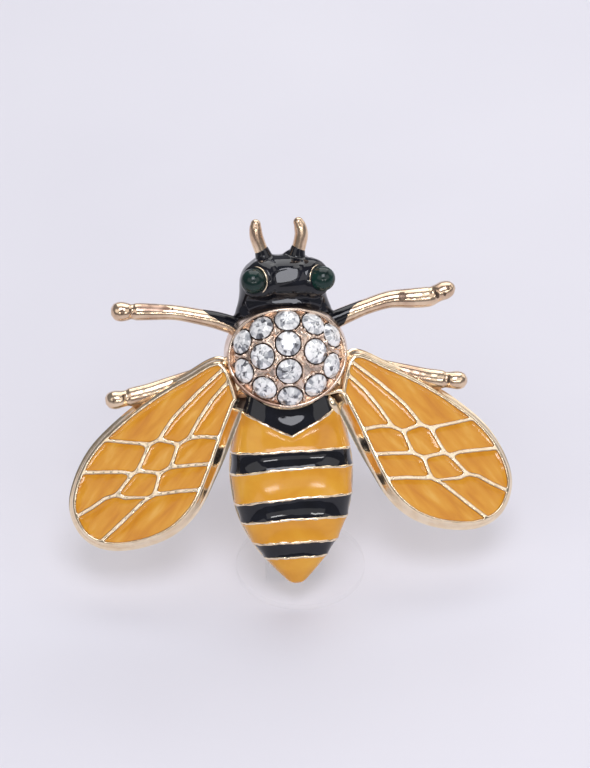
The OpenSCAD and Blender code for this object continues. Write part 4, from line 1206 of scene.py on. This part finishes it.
def wing_points(paths, rim):
    """Points of the edges first, then rows beside them and an even grid between, none too close."""
    # Least gap between points, and which of the rows that run at a distance d from an edge are of use
    rules = {
        "metal": (0.04, lambda near, cell, d: (cell < 0) & (near > d - 0.012)),
        "glaze": (0.06, lambda near, cell, d: (cell >= 0) & (near > d - 0.02)),
        "rim": (0.04, lambda near, cell, d: (cell < 0) & (near > 0.03)),
        "between": (0.13, lambda near, cell, d: near > np.where(cell < 0, 0.16, 0.12)),
    }
    wanted = []
    for path in paths:
        for kind, steps in (("metal", (0.045, 0.09, 0.14)), ("glaze", (0.07, 0.17, 0.32, 0.52))):
            for d in steps:
                wanted += [(path + outward(path) * d, d, kind), (path - outward(path) * d, d, kind)]
    wanted += [(outline_at(ROUND, d), d, "rim") for d in (0.03, 0.08, 0.15, 0.22)]
    xs, ys = np.arange(0, WING_LEN, 0.3), np.arange(-0.6 * WING_W, 0.5 * WING_W, 0.3)
    wanted.append((np.stack(np.meshgrid(xs, ys), 2).reshape(-1, 2), 0.3, "between"))

    # Square buckets make the search for close neighbours quick
    side = 0.1
    bucket = {}

    def keep(p):
        bucket.setdefault((int(p[0] // side), int(p[1] // side)), []).append((float(p[0]), float(p[1])))

    def free(p, gap):
        column, row = int(p[0] // side), int(p[1] // side)
        r = int(gap // side) + 1
        return not any(
            (q[0] - p[0]) ** 2 + (q[1] - p[1]) ** 2 < gap * gap
            for i in range(column - r, column + r + 1)
            for j in range(row - r, row + r + 1)
            for q in bucket.get((i, j), ())
        )

    points = [tuple(p) for path in paths + [rim] for p in path]
    for p in points:
        keep(p)
    for q, d, kind in wanted:
        gap, fits = rules[kind]
        fine = inside(q, rim) & (distance(q, rim) > 0.02) & fits(*measure(q, paths), d)
        for p in q[fine]:
            if free(p, gap):
                keep(p)
                points.append((float(p[0]), float(p[1])))
    return points


def wing_net():
    """One wing from above: points, triangles, each triangle's cell or -1, edge points and two heights."""
    paths = cell_edges()
    rim = outline_at(ROUND, 0)
    edges = []
    for path in paths + [rim]:
        start, n = len(edges), len(path)
        edges += [(start + k, start + (k + 1) % n) for k in range(n)]
    found = geometry.delaunay_2d_cdt([Vector(p) for p in wing_points(paths, rim)], edges, [], 0, 1e-6)
    pts = np.array([(v[0], v[1]) for v in found[0]])
    tris = np.array([f for f in found[2] if len(f) == 3])
    middles = pts[tris].mean(1)
    kept = inside(middles, rim)
    tris, cell = tris[kept], measure(middles, paths)[1][kept]
    a, b, c = (pts[tris[:, k]] for k in range(3))
    turn = (b[:, 0] - a[:, 0]) * (c[:, 1] - a[:, 1]) - (b[:, 1] - a[:, 1]) * (c[:, 0] - a[:, 0])
    tris[turn < 0] = tris[turn < 0][:, ::-1]

    near, _ = measure(pts, paths)
    on_edge = near < 1e-3
    metal_z = np.interp(near, [0, 0.03, 0.07, 0.13, 0.3], [EDGE_Z, -0.02, 0.025, 0.04, 0.045])
    rounded = np.interp(distance(pts, rim), [0, 0.03, 0.08, 0.15, 0.22, 0.34],
                        [-SHOULDER, -0.21, -0.13, -0.06, -0.015, 0.03])
    metal_z = np.minimum(metal_z, rounded)
    metal_z = metal_z + 0.012 * wavy(pts[:, 0] * 2 + pts[:, 1] * 3, 1, 0.5) * (near > 0.03)
    stripe = np.sin(pts[:, 1] * 7 - pts[:, 0] * 0.7) * np.clip(near / 0.5, 0, 1)
    glaze_z = EDGE_Z - 0.085 * (1 - np.exp(-near / 0.32)) + 0.004 * stripe
    metal_z[on_edge] = glaze_z[on_edge] = EDGE_Z
    return pts, tris, cell, on_edge, metal_z, glaze_z


def drop_loose(obj):
    """Removes the points that no face has."""
    bm = bmesh.new()
    bm.from_mesh(obj.data)
    bmesh.ops.delete(bm, geom=[v for v in bm.verts if not v.link_faces], context="VERTS")
    bm.to_mesh(obj.data)
    bm.free()


def build_wings():
    pts, tris, cell, on_edge, metal_z, glaze_z = wing_net()
    n = len(pts)
    sheet, filled = tris[cell < 0], tris[cell >= 0]
    # Painted shade along the foot of each vein, in a darker gold
    foot = on_edge[sheet].any(1)
    # The edges that only one filled triangle has
    borders = {}
    for f in filled:
        for k in range(3):
            a, b = int(f[k]), int(f[(k + 1) % 3])
            if not borders.pop((b, a), False):
                borders[(a, b)] = True
    rise, fade = (eased_step((ROUND - at) / length) for at, length in (SPREAD_STARTS, SPREAD_FADES))
    spread = SPREAD * rise * (1 - fade)
    crevice = np.flatnonzero((ROUND > CREVICE[0]) & (ROUND < CREVICE[1]))
    for name, sign in (("right", 1), ("left", -1)):
        place = wing_place(sign)
        # Metal: the raised sheet, the cells' walls and floors, the sloping side, the back and the lug
        tray = Mesh()
        top, floor = on_wing(place, pts, metal_z), on_wing(place, pts, -CELL_DEPTH)
        tray.add(top, sheet[~foot])
        tray.add(top, sheet[foot], 1)
        tray.add(floor, filled)
        tray.add(np.vstack([top, floor]), [(a, b, b + n, a + n) for a, b in borders])
        sides = []
        for t, out_by in WING_SIDE:
            edge = outline_at(ROUND, -(out_by + spread * t**1.5)[:, None])
            sides.append(on_wing(place, edge, -SHOULDER + (SHOULDER - WING_T) * t))
        start = len(tray.faces)
        tray.net(sides, cap=False)
        # Painted shade in the crevice
        for i in range(2, len(WING_SIDE) - 1):
            for j in crevice:
                tray.mats[start + i * len(ROUND) + int(j)] = 2
        back = outline_at(ROUND, -(WING_SIDE[-1][1] + spread)[:, None])
        tray.add(on_wing(place, back, -WING_T), [tuple(range(len(back)))])
        low, high, near, far = -WING_T, -CELL_DEPTH - LUG_UNDER_CELLS, -LUG_BACK, LUG_W - LUG_BACK
        lug = []
        for x in np.linspace(-LUG_BACK, LUG_LEN - LUG_BACK, 10):
            lug.append(on_wing(place, [(x, near), (x, far), (x, far), (x, near)], [low, low, high, high]))
        tray.net(lug)
        drop_loose(tray.build(
            f"metal_wing_{name}", [gold, painted_shade_gold, shade_and_spot_gold], ["casting"], 60, 0.0005,
        ))

        glass = Mesh()
        faces = [tuple(f) for f in filled] + [(f[2] + n, f[1] + n, f[0] + n) for f in filled]
        faces += [(a, a + n, b + n, b) for a, b in borders]
        glass.add(np.vstack([on_wing(place, pts, glaze_z), on_wing(place, pts, -CELL_DEPTH + 0.02)]), faces)
        drop_loose(glass.build(
            f"enamel_wing_{name}", [wing_glaze],
            [f"wing_{name}_{i:02d}" for i in range(1, 12)], 60, 0, np.vstack([pts, pts]) / 10,
        ))


# The nodes that stay as they are


def dress(obj, *materials):
    obj.data.materials.clear()
    for mat in materials:
        obj.data.materials.append(mat)
    return obj.data


def dress_nodes():
    painted_glint_glass = stone_with_painted_glints()
    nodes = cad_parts
    radius = STONE_D * MM / 2
    for i, axis in enumerate(stone_axes(), 1):
        me = dress(nodes[f"stone_{i:02d}"], painted_glint_glass)
        up = PLACE.to_3x3() @ Vector(axis)
        # Each stone's map is turned its own way
        side = up.cross(Vector((math.sin(i * 2.4), math.cos(i * 2.4), 0.3))).normalized()
        seat = PLACE @ Vector((axis[0] * DOME_R, axis[1] * DOME_R, DOME_Z + axis[2] * DOME_R)) * MM
        layer = me.uv_layers.new(name="UVMap")
        for loop in me.loops:
            way = me.vertices[loop.vertex_index].co - seat
            x, y = way.dot(side) / radius, way.dot(up.cross(side)) / radius
            layer.data[loop.index].uv = (STONE_STEP / 2 + STONE_STEP * i + x, y)
        for face in me.polygons:
            face.use_smooth = False
    dress(nodes["pin_back"], pin_metal)
    stand = dress(nodes["display_stand"], *clear_plastic())
    reach = max(v.co.x for v in stand.vertices)
    # The faces round the foot's rim take the material with the painted glint
    for face in stand.polygons:
        if face.center.xy.length > reach - 0.5 * MM and abs(face.normal.z) < 0.9:
            face.material_index = 1


# Floor, light and camera

# The point that the lights look at
LIT = Vector((0, 0.003, 0.02))
# Area lights: degrees round from the front and up, distance, width, height, power and colour
LIGHTS = [
    ("softbox", 0, 65, 0.5, 0.22, 0.21, 0.95, (0.92, 0.93, 1.0)),
    ("lamp_left", -8.5, 25, 0.5, 0.12, 0.025, 0.13, (1, 1, 1)),
    ("lamp_right", 19, 25, 0.5, 0.12, 0.025, 0.13, (1, 1, 1)),
    ("panel_left", -47, 39, 0.6, 0.42, 0.34, 0.42, (1.0, 0.98, 0.97)),
    ("panel_right", 51, 39, 0.6, 0.42, 0.34, 0.42, (1.0, 0.98, 0.97)),
    ("side_panel", 122, 24, 0.6, 0.5, 0.4, 0.6, (1.0, 0.98, 0.96)),
    ("front_panel", 4, 21, 0.6, 0.5, 0.14, 0.16, (1.0, 0.98, 0.97)),
    ("back_light", 170, 50, 0.6, 0.6, 0.6, 2.3, (1, 1, 1)),
]
# The camera, as matched to the photo: degrees round and up, and distance
VIEW = (-5.3, 38, 0.32)
# In pixels of the photo: its height, the focal length and the shifts
PHOTO_TALL, FOCAL, SHIFT_X, SHIFT_Y = 768, 3098, 9.8, -24
# The sensor's height in mm
SENSOR = 36


def look(obj, azimuth, elevation, distance, target):
    """Puts a light or the camera where it looks at a point."""
    a, e = math.radians(azimuth), math.radians(elevation)
    way = Vector((math.sin(a) * math.cos(e), -math.cos(a) * math.cos(e), math.sin(e)))
    obj.location = target + way * distance
    obj.rotation_euler = (target - obj.location).to_track_quat("-Z", "Y").to_euler()
    bpy.context.scene.collection.objects.link(obj)


def build_stage():
    scene = bpy.context.scene
    mat, tree, shader = new_material("pale_floor", Roughness=0.75, Specular_IOR_Level=0.2)
    stops = [(0.3, (0.7, 0.685, 0.74)), (0.7, (0.74, 0.725, 0.775))]
    tint(tree, shader, noise(tree, coords(tree), 14), stops)
    me = bpy.data.meshes.new("floor")
    # A hair below the clear foot, so that light passes through the foot to the floor
    low = -0.03 * MM
    me.from_pydata([(-2, -2, low), (2, -2, low), (2, 2, low), (-2, 2, low)], [], [(0, 1, 2, 3)])
    me.materials.append(mat)
    floor = bpy.data.objects.new("floor", me)
    scene.collection.objects.link(floor)

    scene.world = bpy.data.worlds.new("studio")
    scene.world.use_nodes = True
    background = scene.world.node_tree.nodes["Background"]
    background.inputs["Color"].default_value = (0.82, 0.84, 0.92, 1)
    background.inputs["Strength"].default_value = 0.27

    for name, azimuth, elevation, distance, wide, tall, power, color in LIGHTS:
        data = bpy.data.lights.new(name, "AREA")
        data.shape = "RECTANGLE"
        data.size = wide
        data.size_y = tall
        data.energy = power
        data.color = color
        look(bpy.data.objects.new(name, data), azimuth, elevation, distance, LIT)

    data = bpy.data.cameras.new("camera")
    data.sensor_width = SENSOR
    data.lens = FOCAL * SENSOR / PHOTO_TALL
    data.shift_x = SHIFT_X / PHOTO_TALL
    data.shift_y = SHIFT_Y / PHOTO_TALL
    data.clip_start = 0.01
    camera = bpy.data.objects.new("camera", data)
    look(camera, *VIEW, PLACE @ Vector((0, -0.5, 0)) * MM)
    scene.camera = camera
    scene.view_settings.view_transform = "Standard"


build_stage()
build_bands()
build_abdomen()
build_thorax()
build_limbs()
build_head()
build_wings()
dress_nodes()
